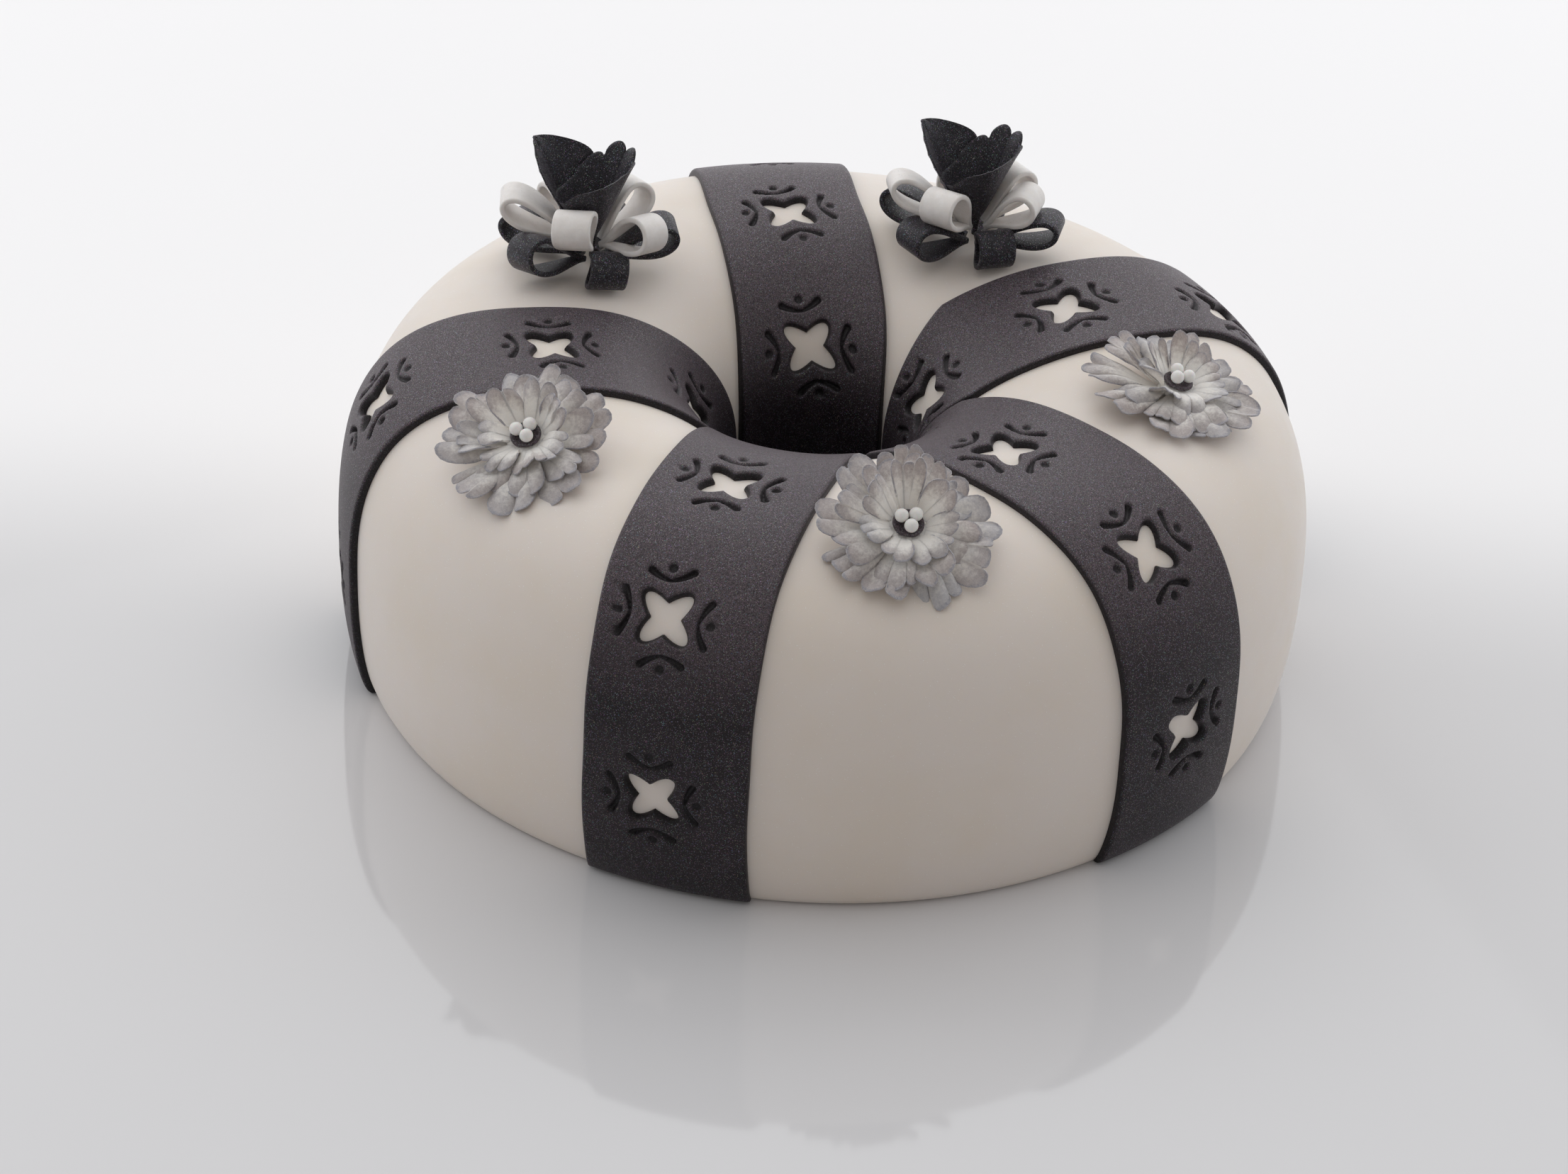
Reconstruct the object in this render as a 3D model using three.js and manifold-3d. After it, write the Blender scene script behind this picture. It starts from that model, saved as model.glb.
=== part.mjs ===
// Ring cake in ivory fondant with five punched black bands, three sugar flowers and two loop bows.
// Lengths are millimetres and +Z is up. A bearing is degrees round the ring, from -Y towards +X.
// A reach is the way over the ring's skin, from its outer foot over the top and down into the hole.

import * as THREE from "three";
import { mergeVertices } from "three/addons/utils/BufferGeometryUtils.js";
import Module from "manifold-3d";

const wasm = await Module();
wasm.setup();

// ---------------------------------------------------------------- driving dimensions

const RING = {
  footRadius: 123.8,
  bellyRadius: 130,
  bellyHeight: 33.9,
  ridgeRadius: 79.4,
  height: 90.7,
  holeRadius: 27.4,
  holeLipHeight: 48.3,
  outerFullness: 2.72,
  innerFullness: 2.26,
  holeShiftX: -5.2,
  riseTowardsX: -0.013,
  stations: 20,
  sides: 52,
  quarterSteps: 64,
  normalSpan: 1.5,
};

// turnIn: the reaches between which a band swings from its way down to its place in the hole.
const BAND = {
  width: 43.4,
  thickness: 1.8,
  gap: 0.3,
  sideGap: 0.4,
  footReach: 2,
  floorGap: 0.5,
  holeEndReach: 1.6,
  turnIn: [120, 200],
  steps: 4,
};

// holeSides: the bearings where a band meets its neighbours on the wall of the hole.
// stars: reach, bearing and turn of each punched star.
const BANDS = [
  {
    name: "band_front_left",
    bearing: -16.5,
    holeBearing: -16.9,
    holeSides: [-48.5, 14.6],
    holeWidth: 43.4,
    stars: [[32.3, -17.7, 6.5], [80.6, -18.4, 5.5], [127.2, -18.3, 1], [174, -17, 0]],
  },
  {
    name: "band_front_right",
    bearing: 45.7,
    holeBearing: 47,
    holeSides: [14.6, 79.7],
    holeWidth: 43.4,
    stars: [[38, 45.9, 6.5], [87.9, 45.2, 3.5], [135.3, 42.8, 12], [180, 46, 0]],
  },
  {
    name: "band_right",
    bearing: 113.7,
    holeBearing: 111,
    holeSides: [79.7, 140.6],
    holeWidth: 43.4,
    stars: [[42, 113.2, 4], [88.3, 111.5, 3], [133.1, 113.7, 11], [178.3, 109.9, 0]],
  },
  {
    name: "band_back",
    bearing: 191.3,
    holeBearing: 188,
    holeSides: [140.6, 235.4],
    holeWidth: 43.4,
    stars: [[42, 191.3, -5], [88, 191.3, 3], [132, 191.3, 6], [177.4, 191.3, 7.5]],
  },
  {
    name: "band_left",
    bearing: -80.5,
    holeBearing: -82,
    holeSides: [-124.6, -48.5],
    holeWidth: 47.5,
    stars: [[29.6, -80.3, 3], [79.9, -81, 4], [131.9, -81.7, 5], [179.9, -84, 0]],
  },
];

const STAR = {
  rays: 4,
  tipRadius: 8.9,
  notchRadius: 3.6,
  flankRadius: 6.1,
  flankWidth: 4.1,
  cutDepth: 8,
};

// A petal layer's size: flat is the radius of its level middle, rise how far its rim stands up.
// A petal's outline has a gap, a shoulder, a tip and a shoulder, each at a share of its own turn.
// Its length and the droop of its tip vary within a range.
const PETAL = {
  thickness: 0.8,
  turns: [0, 0.12, 0.5, 0.88],
  shoulder: 0.93,
  lengths: [0.93, 1.03],
  droops: [-1.2, 0.8],
  shares: [0, 0.5, 1],
  layerTurn: 17,
};
const PETAL_LAYERS = [
  { part: "outer", petals: 9, radius: 22.8, base: 0, flat: 3, rise: 4.8, curve: 1.4, notch: 0.6 },
  { part: "middle", petals: 8, radius: 18.2, base: 1.3, flat: 4, rise: 6.4, curve: 1.3, notch: 0.6 },
  { part: "inner", petals: 7, radius: 12.6, base: 2.9, flat: 5, rise: 7.6, curve: 1.2, notch: 0.66 },
];
const BUTTON = { radius: 4.4, height: 0.8, base: 4, sides: 10 };
const PEARL = { count: 3, radius: 1.75, spacing: 2.2, height: 6.9, sides: 6, rings: 4 };

// Each flower: where it sits, how high its middle stands off the skin, and how far it leans
// down the slope and along it.
const FLOWERS = [
  {
    name: "flower_left",
    reach: 108.5,
    bearing: -51.3,
    seat: 2,
    lean: 11.5,
    aside: 9.8,
    turn: 10,
    pearlTurn: 98,
    seed: 11,
  },
  {
    name: "flower_front",
    reach: 108.4,
    bearing: 12,
    seat: 3.2,
    lean: 16,
    aside: 1.5,
    turn: 25,
    pearlTurn: 272,
    seed: 23,
  },
  {
    name: "flower_right",
    reach: 111.4,
    bearing: 79.8,
    seat: 0.9,
    lean: 7.8,
    aside: 0,
    turn: 0,
    pearlTurn: 160,
    seed: 37,
  },
];

// taper: the shares of a loop's length between which it widens from the pinch.
// fullness: how strongly the drop curve draws in towards the pinch.
const LOOP = {
  thickness: 1.5,
  width: 10.8,
  pinchWidth: 2,
  pinchReach: 2.8,
  holeStart: 0.24,
  taper: [-0.1, 0.75],
  fullness: 2,
  stations: 11,
};
const AXIS_HEIGHT = { black: 3.4, white: 7.7 };

// Each loop: its direction anticlockwise from +X, its tilt above level, its length, its roll about
// its own length and half its greatest height.
const BOWS = [
  {
    name: "bow_left",
    reach: 131.2,
    bearing: -117.8,
    black: [
      [216.1, 19.6, 21.7, 14.1, 5.3],
      [292.8, 10.5, 13.4, -10.5, 5.2],
      [10.8, 20.2, 21.7, 0.8, 4.4],
      [151.9, 8.9, 24.5, 4.1, 4.6],
      [84.3, 8.5, 20.1, -1.2, 4.4],
    ],
    white: [
      [182.7, 32.5, 25.6, 1.2, 4.2],
      [125.6, 29.8, 19.5, 0.2, 4.8],
      [250.7, 46.8, 17.6, 9.4, 5.3],
      [336.3, 26.7, 18.8, -17.4, 5.3],
      [40.3, 45, 19.5, -14.8, 4.9],
    ],
    funnelTurn: 0,
  },
  {
    name: "bow_right",
    reach: 132.8,
    bearing: 147.4,
    black: [
      [212.3, 14.5, 20, 2.7, 4.9],
      [295, 14.3, 12.5, -3.9, 5.3],
      [349.5, 18.7, 22.2, -2.8, 4.1],
      [152.7, 14.4, 25.6, 10.7, 4.6],
      [79.8, 7.1, 20, -0.2, 4.4],
    ],
    white: [
      [181.4, 31.1, 24.8, 12, 4.3],
      [111.9, 31.1, 15.6, -0.1, 4.9],
      [226.6, 42.4, 18.7, 7.8, 5.1],
      [345, 39, 18, -1.6, 4.7],
      [34.5, 50.8, 18.7, 0.9, 5],
    ],
    funnelTurn: 0,
  },
];

const FUNNEL = {
  baseHeight: 10,
  baseRadius: 1.3,
  thickness: 1.1,
  radius: 10.3,
  radiusSwing: 0.5,
  height: 19,
  heightSwing: 3.8,
  heightTurn: 15,
  lobes: 5,
  lobeHeight: 0.8,
  floorHeight: 2.4,
  floorRadius: 0.4,
  spread: 0.9,
  columns: 18,
  rows: 3,
};
const LEAF = {
  length: 26.8,
  baseRadius: 3.4,
  tipRadius: 16.2,
  bearing: 165,
  sweep: 7,
  halfWidth: 8.2,
  endHalfWidth: 0.4,
  broadest: 1.35,
  fullness: 0.8,
  crease: 0.8,
  spread: 0.9,
  thickness: 1.1,
  rows: 6,
  columns: 4,
};

const FINISH = {
  ivory: { color: 0xe6ddd0, roughness: 0.55, metalness: 0 },
  black: { color: 0x2b282b, roughness: 0.6, metalness: 0.1 },
  petal: { color: 0xa9a3a3, roughness: 0.85, metalness: 0 },
  pearl: { color: 0xf3f0ec, roughness: 0.25, metalness: 0 },
  white: { color: 0xf1eeea, roughness: 0.6, metalness: 0 },
  glitter: { color: 0x1d1b20, roughness: 0.5, metalness: 0.2 },
};

// ---------------------------------------------------------------- small helpers

const rad = THREE.MathUtils.degToRad;
const lerp = THREE.MathUtils.lerp;
const smooth = THREE.MathUtils.smoothstep;
const clamp = THREE.MathUtils.clamp;

const STREAM = { factor: 16807, modulus: 2147483647 };

// A repeatable stream of numbers between 0 and 1.
function numberStream(seed) {
  let state = seed;
  return () => {
    state = (state * STREAM.factor) % STREAM.modulus;
    return state / STREAM.modulus;
  };
}

// Six times the volume inside a triangle list, negative where its faces point inwards.
function signedVolume(points, faces) {
  const cross = new THREE.Vector3();
  return faces.reduce(
    (sum, [a, b, c]) => sum + points[a].dot(cross.crossVectors(points[b], points[c])),
    0,
  );
}

// A closed geometry from points and triangles, turned so that its faces point out.
function solidGeometry(points, faces) {
  const outward = signedVolume(points, faces) > 0;
  const index = faces.flatMap(([a, b, c]) => (outward ? [a, b, c] : [a, c, b]));
  return new THREE.BufferGeometry().setFromPoints(points).setIndex(index);
}

// A closed skin over a grid whose rows and columns both run round and meet themselves.
function ringGrid(rows) {
  const width = rows[0].length;
  const faces = [];
  rows.forEach((row, i) => {
    const next = (i + 1) % rows.length;
    row.forEach((_, j) => {
      const side = (j + 1) % width;
      const corners = [i * width + j, i * width + side, next * width + side, next * width + j];
      faces.push([corners[0], corners[1], corners[2]], [corners[0], corners[2], corners[3]]);
    });
  });
  return solidGeometry(rows.flat(), faces);
}

// The four corners of a grid's cell, in order round it.
function cell(width, i, j) {
  const side = (j + 1) % width;
  return [i * width + j, i * width + side, (i + 1) * width + side, (i + 1) * width + j];
}

// A plate between a front and a back grid of equal size, both split into triangles alike.
// A round plate's columns run round, and its first row closes on a point of its own.
function plate(front, back, round = false) {
  const rowCount = front.length;
  const width = front[0].length;
  const points = [...front.flat(), ...back.flat()];
  const behind = rowCount * width;
  const faces = [];
  const quad = (a, b, c, d) => faces.push([a, b, c], [a, c, d]);
  const columns = round ? width : width - 1;
  for (let j = 0; j < columns; j += 1) {
    for (let i = 0; i < rowCount - 1; i += 1) {
      const [a, b, c, d] = cell(width, i, j);
      quad(a, b, c, d);
      faces.push([a + behind, c + behind, b + behind]);
      faces.push([a + behind, d + behind, c + behind]);
    }
    const side = (j + 1) % width;
    const rim = (rowCount - 1) * width;
    quad(rim + j, rim + side, rim + side + behind, rim + j + behind);
    if (!round) quad(side, j, j + behind, side + behind);
  }
  if (round) {
    closeMiddle(points, faces, front[0], 0, false);
    closeMiddle(points, faces, back[0], behind, true);
  } else {
    for (let i = 0; i < rowCount - 1; i += 1) {
      const left = i * width;
      const right = left + width - 1;
      quad(left, left + width, left + width + behind, left + behind);
      quad(right + width, right, right + behind, right + width + behind);
    }
  }
  return solidGeometry(points, faces);
}

// A fan of triangles from the middle of a row of points to the row itself.
function closeMiddle(points, faces, row, start, flip) {
  const middle = row.reduce((sum, p) => sum.add(p), new THREE.Vector3()).divideScalar(row.length);
  points.push(middle);
  row.forEach((_, j) => {
    const [a, b] = [start + j, start + ((j + 1) % row.length)];
    faces.push(flip ? [points.length - 1, a, b] : [points.length - 1, b, a]);
  });
}

function toManifold(geometry) {
  const bare = geometry.clone();
  ["normal", "uv"].forEach((name) => bare.deleteAttribute(name));
  const merged = mergeVertices(bare, 1e-4);
  return new wasm.Manifold(
    new wasm.Mesh({
      numProp: 3,
      vertProperties: merged.attributes.position.array,
      triVerts: new Uint32Array(merged.index.array),
    }),
  );
}

function fromManifold(solid) {
  const mesh = solid.getMesh();
  return new THREE.BufferGeometry()
    .setAttribute("position", new THREE.BufferAttribute(mesh.vertProperties, 3))
    .setIndex(new THREE.BufferAttribute(mesh.triVerts, 1));
}

function piece(name, geometry, finish) {
  const mesh = new THREE.Mesh(geometry, new THREE.MeshStandardMaterial(FINISH[finish]));
  mesh.name = name;
  return mesh;
}

// ---------------------------------------------------------------- the ring's skin

// One stretch of the cross section in short steps of an angle from 0 to a quarter turn.
function quarter(point) {
  const steps = RING.quarterSteps;
  return Array.from({ length: steps + 1 }, (_, k) => point((k / steps) * (Math.PI / 2)));
}

// The cross section as points (radius, height), from the outer foot to the foot of the hole.
function crossSection() {
  const { footRadius, bellyRadius, bellyHeight, ridgeRadius, height } = RING;
  const { holeRadius, holeLipHeight } = RING;
  const outer = 2 / RING.outerFullness;
  const inner = 2 / RING.innerFullness;
  const below = quarter((a) => [
    footRadius + (bellyRadius - footRadius) * Math.sin(a),
    bellyHeight * (1 - Math.cos(a)),
  ]);
  const above = quarter((a) => [
    ridgeRadius + (bellyRadius - ridgeRadius) * Math.cos(a) ** outer,
    bellyHeight + (height - bellyHeight) * Math.sin(a) ** outer,
  ]);
  const inwards = quarter((a) => [
    ridgeRadius - (ridgeRadius - holeRadius) * Math.sin(a) ** inner,
    holeLipHeight + (height - holeLipHeight) * Math.cos(a) ** inner,
  ]);
  const corners = [...below, ...above.slice(1), ...inwards.slice(1), [holeRadius, 0]];
  return corners.map(([x, y]) => new THREE.Vector2(x, y));
}

const SECTION = crossSection();
const REACHES = SECTION.map(() => 0);
SECTION.forEach((point, k) => {
  if (k > 0) REACHES[k] = REACHES[k - 1] + point.distanceTo(SECTION[k - 1]);
});
const FULL_REACH = REACHES[REACHES.length - 1];

// The section's point at a reach.
function sectionPoint(reach) {
  const wanted = clamp(reach, 0, FULL_REACH);
  const k = Math.max(1, REACHES.findIndex((r) => r >= wanted));
  const share = (wanted - REACHES[k - 1]) / (REACHES[k] - REACHES[k - 1]);
  return SECTION[k - 1].clone().lerp(SECTION[k], share);
}

// The section's outward direction at a reach, over a stretch long enough to smooth its steps.
function sectionNormal(reach) {
  const span = RING.normalSpan;
  const along = sectionPoint(reach + span).sub(sectionPoint(reach - span)).normalize();
  return new THREE.Vector2(along.y, -along.x);
}

// The horizontal direction of a bearing.
function bearingDirection(bearing) {
  return new THREE.Vector2(Math.sin(rad(bearing)), -Math.cos(rad(bearing)));
}

// A point on the ring's skin, or lifted off it. The hole sits off centre, and one side is higher.
function skinPoint(reach, bearing, lift = 0) {
  const base = sectionPoint(reach);
  const normal = sectionNormal(reach);
  const direction = bearingDirection(bearing);
  const span = RING.bellyRadius - RING.holeRadius;
  const inwardShare = 1 - clamp((base.x - RING.holeRadius) / span, 0, 1);
  const radius = base.x + lift * normal.x + inwardShare * RING.holeShiftX * direction.x;
  const height = (base.y + lift * normal.y) * (1 + RING.riseTowardsX * direction.x);
  return new THREE.Vector3(radius * direction.x, radius * direction.y, height);
}

// A frame standing on the skin: X along growing bearing, Y along growing reach, Z outwards.
function skinFrame(reach, bearing) {
  const normal = sectionNormal(reach);
  const direction = bearingDirection(bearing);
  const z = new THREE.Vector3(normal.x * direction.x, normal.x * direction.y, normal.y);
  const x = new THREE.Vector3(-direction.y, direction.x, 0);
  const y = new THREE.Vector3().crossVectors(z, x);
  return new THREE.Matrix4().makeBasis(x, y, z).setPosition(skinPoint(reach, bearing));
}

const STATIONS = Array.from(
  { length: RING.stations + 1 },
  (_, k) => (k / RING.stations) * FULL_REACH,
);

function ring() {
  const rows = STATIONS.map((reach) =>
    Array.from({ length: RING.sides }, (_, j) => skinPoint(reach, (j / RING.sides) * 360)),
  );
  return piece("cake_ring", ringGrid(rows), "ivory");
}

// ---------------------------------------------------------------- bands

// Half a band's width as a bearing, and where its two sides run at a reach.
function bandSides(band, reach) {
  const intoHole = smooth(reach, ...BAND.turnIn);
  const width = lerp(BAND.width, band.holeWidth, intoHole);
  const middle = lerp(band.bearing, band.holeBearing, intoHole);
  const surface = skinPoint(reach, middle, BAND.gap + BAND.thickness);
  const radius = Math.hypot(surface.x, surface.y);
  const half = THREE.MathUtils.radToDeg(width / 2 / radius);
  const spare = THREE.MathUtils.radToDeg(BAND.sideGap / radius);
  return [
    Math.max(middle - half, band.holeSides[0] + spare),
    Math.min(middle + half, band.holeSides[1] - spare),
  ];
}

// The lowest points of a band hang straight down beside the foot of the ring.
function footPoint(bearing, lift) {
  const direction = bearingDirection(bearing);
  const point = skinPoint(BAND.footReach, bearing);
  return new THREE.Vector3(point.x + lift * direction.x, point.y + lift * direction.y, BAND.floorGap);
}

function bandFace(band, lift) {
  const reaches = [...STATIONS];
  reaches[0] = BAND.footReach;
  reaches[RING.stations] = FULL_REACH - BAND.holeEndReach;
  return reaches.map((reach, i) => {
    const [left, right] = bandSides(band, reach);
    return Array.from({ length: BAND.steps + 1 }, (_, j) => {
      const bearing = lerp(left, right, j / BAND.steps);
      return i === 0 ? footPoint(bearing, lift) : skinPoint(reach, bearing, lift);
    });
  });
}

// A star of leaf-shaped rays on the diagonals, with a notch between each two.
function starShape() {
  const { rays, tipRadius, notchRadius, flankRadius, flankWidth } = STAR;
  const outline = [];
  const at = (radius, angle, aside) => {
    const along = new THREE.Vector2(Math.cos(angle), Math.sin(angle));
    return new THREE.Vector2(
      along.x * radius - along.y * aside,
      along.y * radius + along.x * aside,
    );
  };
  const halfStep = Math.PI / rays;
  for (let k = 0; k < rays; k += 1) {
    const ray = (2 * k + 1) * halfStep;
    outline.push(at(notchRadius, ray - halfStep, 0), at(flankRadius, ray, -flankWidth / 2));
    outline.push(at(tipRadius, ray, 0), at(flankRadius, ray, flankWidth / 2));
  }
  return new THREE.Shape(outline);
}

function band(row) {
  const lower = bandFace(row, BAND.gap);
  const upper = bandFace(row, BAND.gap + BAND.thickness);
  let solid = toManifold(plate(upper, lower));
  row.stars.forEach(([reach, bearing, turn]) => {
    const cut = { depth: STAR.cutDepth, bevelEnabled: false };
    const cutter = new THREE.ExtrudeGeometry(starShape(), cut);
    cutter.translate(0, 0, -STAR.cutDepth / 2);
    cutter.rotateZ(rad(turn));
    cutter.applyMatrix4(skinFrame(reach, bearing));
    solid = solid.subtract(toManifold(cutter));
  });
  return piece(row.name, fromManifold(solid), "black");
}

// ---------------------------------------------------------------- flowers

// One layer of petals cut from a single sheet: a level middle, and petals that rise to their tips.
function petalLayer(layer, next) {
  const draws = ([low, high]) =>
    Array.from({ length: layer.petals }, () => lerp(low, high, next()));
  const lengths = draws(PETAL.lengths);
  const droops = draws(PETAL.droops);
  const shares = [layer.notch, PETAL.shoulder, 1, PETAL.shoulder];
  const steps = PETAL.turns.length;
  const height = (radius, droop) => {
    const out = Math.max(0, radius - layer.flat) / (layer.radius - layer.flat);
    return layer.base + layer.rise * out ** layer.curve + droop * out * out;
  };
  const face = (lift) =>
    PETAL.shares.map((share) =>
      Array.from({ length: layer.petals * steps }, (_, j) => {
        const petal = Math.floor(j / steps);
        const edge = layer.radius * lengths[petal] * shares[j % steps];
        const radius = lerp(layer.flat, edge, share);
        const angle = ((petal + PETAL.turns[j % steps]) / layer.petals) * 2 * Math.PI;
        return new THREE.Vector3(
          radius * Math.cos(angle),
          radius * Math.sin(angle),
          height(radius, droops[petal]) + lift,
        );
      }),
    );
  return plate(face(PETAL.thickness), face(0), true);
}

function button(name) {
  const { radius, height, base, sides } = BUTTON;
  const disc = piece(name, new THREE.CylinderGeometry(radius, radius, height, sides), "black");
  disc.rotation.x = Math.PI / 2;
  disc.position.z = base + height / 2;
  return disc;
}

function pearl(name, angle) {
  const { radius, spacing, height, sides, rings } = PEARL;
  const ball = piece(name, new THREE.SphereGeometry(radius, sides, rings), "pearl");
  ball.position.set(spacing * Math.cos(angle), spacing * Math.sin(angle), height);
  return ball;
}

function flower(row) {
  const next = numberStream(row.seed);
  const group = new THREE.Group();
  PETAL_LAYERS.forEach((layer, k) => {
    const petals = piece(`${row.name}_${layer.part}_petals`, petalLayer(layer, next), "petal");
    petals.rotation.z = rad(row.turn + PETAL.layerTurn * k);
    group.add(petals);
  });
  group.add(button(`${row.name}_button`));
  for (let k = 0; k < PEARL.count; k += 1) {
    const angle = rad(row.pearlTurn + (360 / PEARL.count) * k);
    group.add(pearl(`${row.name}_pearl_${k + 1}`, angle));
  }
  group.rotation.set(rad(row.lean), rad(row.aside), 0);
  group.position.z = row.seat;
  const site = new THREE.Group();
  site.add(group);
  site.applyMatrix4(skinFrame(row.reach, row.bearing));
  return site;
}

// ---------------------------------------------------------------- bows

// A strip folded into a drop-shaped loop along +X, broad at its round end and pinched at its start.
function loop(length, halfHeight) {
  const { thickness, pinchWidth, width, holeStart, taper, fullness, stations } = LOOP;
  const curve = (turn) => Math.sin(turn) * Math.sin(turn / 2) ** fullness;
  const peak = curve(2 * Math.acos(Math.sqrt(1 / (fullness + 2))));
  const drop = (turn, from, to, half) => {
    const x = lerp(from, to, (1 - Math.cos(turn)) / 2);
    return [x, (half / peak) * curve(turn)];
  };
  const rows = Array.from({ length: stations }, (_, k) => {
    const turn = (k / stations) * 2 * Math.PI;
    const [outerX, outerZ] = drop(turn, 0, length, halfHeight);
    const holeEnd = length - thickness;
    const [innerX, innerZ] = drop(turn, holeStart * length, holeEnd, halfHeight - thickness);
    const half = lerp(pinchWidth, width, smooth(outerX / length, ...taper)) / 2;
    return [
      new THREE.Vector3(outerX, -half, outerZ),
      new THREE.Vector3(outerX, half, outerZ),
      new THREE.Vector3(innerX, half, innerZ),
      new THREE.Vector3(innerX, -half, innerZ),
    ];
  });
  return ringGrid(rows);
}

function placeLoop(mesh, [direction, tilt, , roll], axisHeight) {
  mesh.rotation.order = "ZYX";
  mesh.rotation.set(rad(roll), -rad(tilt), rad(direction));
  const reach = LOOP.pinchReach;
  mesh.position.set(reach * Math.cos(rad(direction)), reach * Math.sin(rad(direction)), axisHeight);
}

// A petal rolled into an open funnel: its rim is lowest in front and waved into lobes.
function funnel() {
  const { baseRadius, thickness, columns, rows, floorHeight, floorRadius } = FUNNEL;
  const face = (inset, floor) =>
    Array.from({ length: rows + 1 }, (_, i) =>
      Array.from({ length: columns }, (_, j) => {
        const angle = (j / columns) * 2 * Math.PI;
        const wave = FUNNEL.lobeHeight * Math.cos(FUNNEL.lobes * angle);
        const swing = FUNNEL.heightSwing * Math.cos(angle - rad(FUNNEL.heightTurn));
        const oval = Math.cos(angle) + Math.cos(2 * angle);
        const rim = FUNNEL.radius + FUNNEL.radiusSwing * oval - inset;
        const share = i / rows;
        const foot = Math.max(baseRadius - inset, floorRadius);
        const radius = lerp(foot, rim, share ** FUNNEL.spread);
        const height = lerp(floor, FUNNEL.height + swing + wave, share);
        return new THREE.Vector3(radius * Math.cos(angle), radius * Math.sin(angle), height);
      }),
    );
  return plate(face(0, 0), face(thickness, floorHeight), true);
}

// A broad pointed leaf bent round the funnel's side, with a crease along its middle.
function leaf() {
  const { rows, columns, baseRadius, tipRadius, endHalfWidth, halfWidth, length } = LEAF;
  const face = (lift) =>
    Array.from({ length: rows + 1 }, (_, i) => {
      const share = i / rows;
      const middle = lerp(baseRadius, tipRadius, share ** LEAF.spread);
      const bulge = Math.sin(Math.PI * share ** LEAF.broadest) ** LEAF.fullness;
      const half = endHalfWidth + halfWidth * bulge;
      return Array.from({ length: columns + 1 }, (_, j) => {
        const aside = (2 * j) / columns - 1;
        const crease = LEAF.crease * (1 - Math.abs(aside)) * Math.sin(Math.PI * share);
        const bearing = LEAF.bearing - LEAF.sweep * Math.sin(Math.PI * share);
        const angle = rad(bearing) + (aside * half) / middle;
        const radius = middle + lift + crease;
        const [x, y] = [radius * Math.cos(angle), radius * Math.sin(angle)];
        return new THREE.Vector3(x, y, length * share);
      });
    });
  return plate(face(LEAF.thickness), face(0));
}

function bow(row) {
  const group = new THREE.Group();
  const addLoops = (kind, finish) =>
    row[kind].forEach((aim, k) => {
      const [, , length, , halfHeight] = aim;
      const mesh = piece(`${row.name}_${kind}_loop_${k + 1}`, loop(length, halfHeight), finish);
      placeLoop(mesh, aim, AXIS_HEIGHT[kind]);
      group.add(mesh);
    });
  addLoops("black", "glitter");
  addLoops("white", "white");
  const bloom = new THREE.Group();
  bloom.add(piece(`${row.name}_funnel`, funnel(), "glitter"));
  bloom.add(piece(`${row.name}_leaf`, leaf(), "glitter"));
  bloom.rotation.z = rad(row.funnelTurn);
  bloom.position.z = FUNNEL.baseHeight;
  group.add(bloom);
  group.position.copy(skinPoint(row.reach, row.bearing));
  return group;
}

// ---------------------------------------------------------------- the whole cake

const cake = new THREE.Group();
cake.add(ring(), ...BANDS.map(band), ...FLOWERS.map(flower), ...BOWS.map(bow));

// The origin is under the middle of the whole cake's box.
const middle = new THREE.Box3().setFromObject(cake, true).getCenter(new THREE.Vector3());
cake.position.set(-middle.x, -middle.y, 0);

export default cake;
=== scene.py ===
"""Dresses a fondant-covered ring cake with punched bands, sugar flowers and loop bows.

Sizes are held in millimetres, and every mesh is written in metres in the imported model's frame.
A bearing is degrees round the ring, from -Y towards +X. A reach is the way over the ring's skin,
from its outer foot over the top and down into the hole.
"""

import logging
import math
from dataclasses import dataclass, field
from enum import Enum

import bpy
import numpy as np
from mathutils import Matrix, Vector


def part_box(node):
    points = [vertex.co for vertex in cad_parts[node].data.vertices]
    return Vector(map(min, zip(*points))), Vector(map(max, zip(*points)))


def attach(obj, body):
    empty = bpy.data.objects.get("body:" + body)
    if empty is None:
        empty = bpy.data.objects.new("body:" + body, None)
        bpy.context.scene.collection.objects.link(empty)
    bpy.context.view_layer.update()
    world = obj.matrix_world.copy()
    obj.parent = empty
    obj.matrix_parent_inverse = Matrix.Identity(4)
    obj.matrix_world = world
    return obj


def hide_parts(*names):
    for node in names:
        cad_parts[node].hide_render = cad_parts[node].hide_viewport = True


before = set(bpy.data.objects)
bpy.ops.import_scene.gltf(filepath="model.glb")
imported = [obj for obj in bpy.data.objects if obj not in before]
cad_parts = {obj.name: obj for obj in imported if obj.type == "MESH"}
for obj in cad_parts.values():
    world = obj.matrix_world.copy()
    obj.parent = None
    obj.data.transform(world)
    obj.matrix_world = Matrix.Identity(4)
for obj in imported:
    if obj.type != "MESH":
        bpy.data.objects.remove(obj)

MM = 0.001
CLOSEST = 0.04
DECIMALS = 4
TINY = 1e-9
NEARLY_ONE = 0.998
CREASE = 60.0
PETAL_CREASE = 80.0
UNIT = (0.0, 1.0)
NOISE_CORE = (0.3, 0.7)
Array = np.ndarray
Pair = tuple[float, float]
Triple = tuple[float, float, float]
Color = Triple
LoopRow = tuple[float, float, float, float, float]
Faces = list[tuple[int, ...]]
Shape = tuple[Array, Faces]
Socket = bpy.types.NodeSocket
LOG = logging.getLogger("ring_cake")


# ---- numbers


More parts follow.
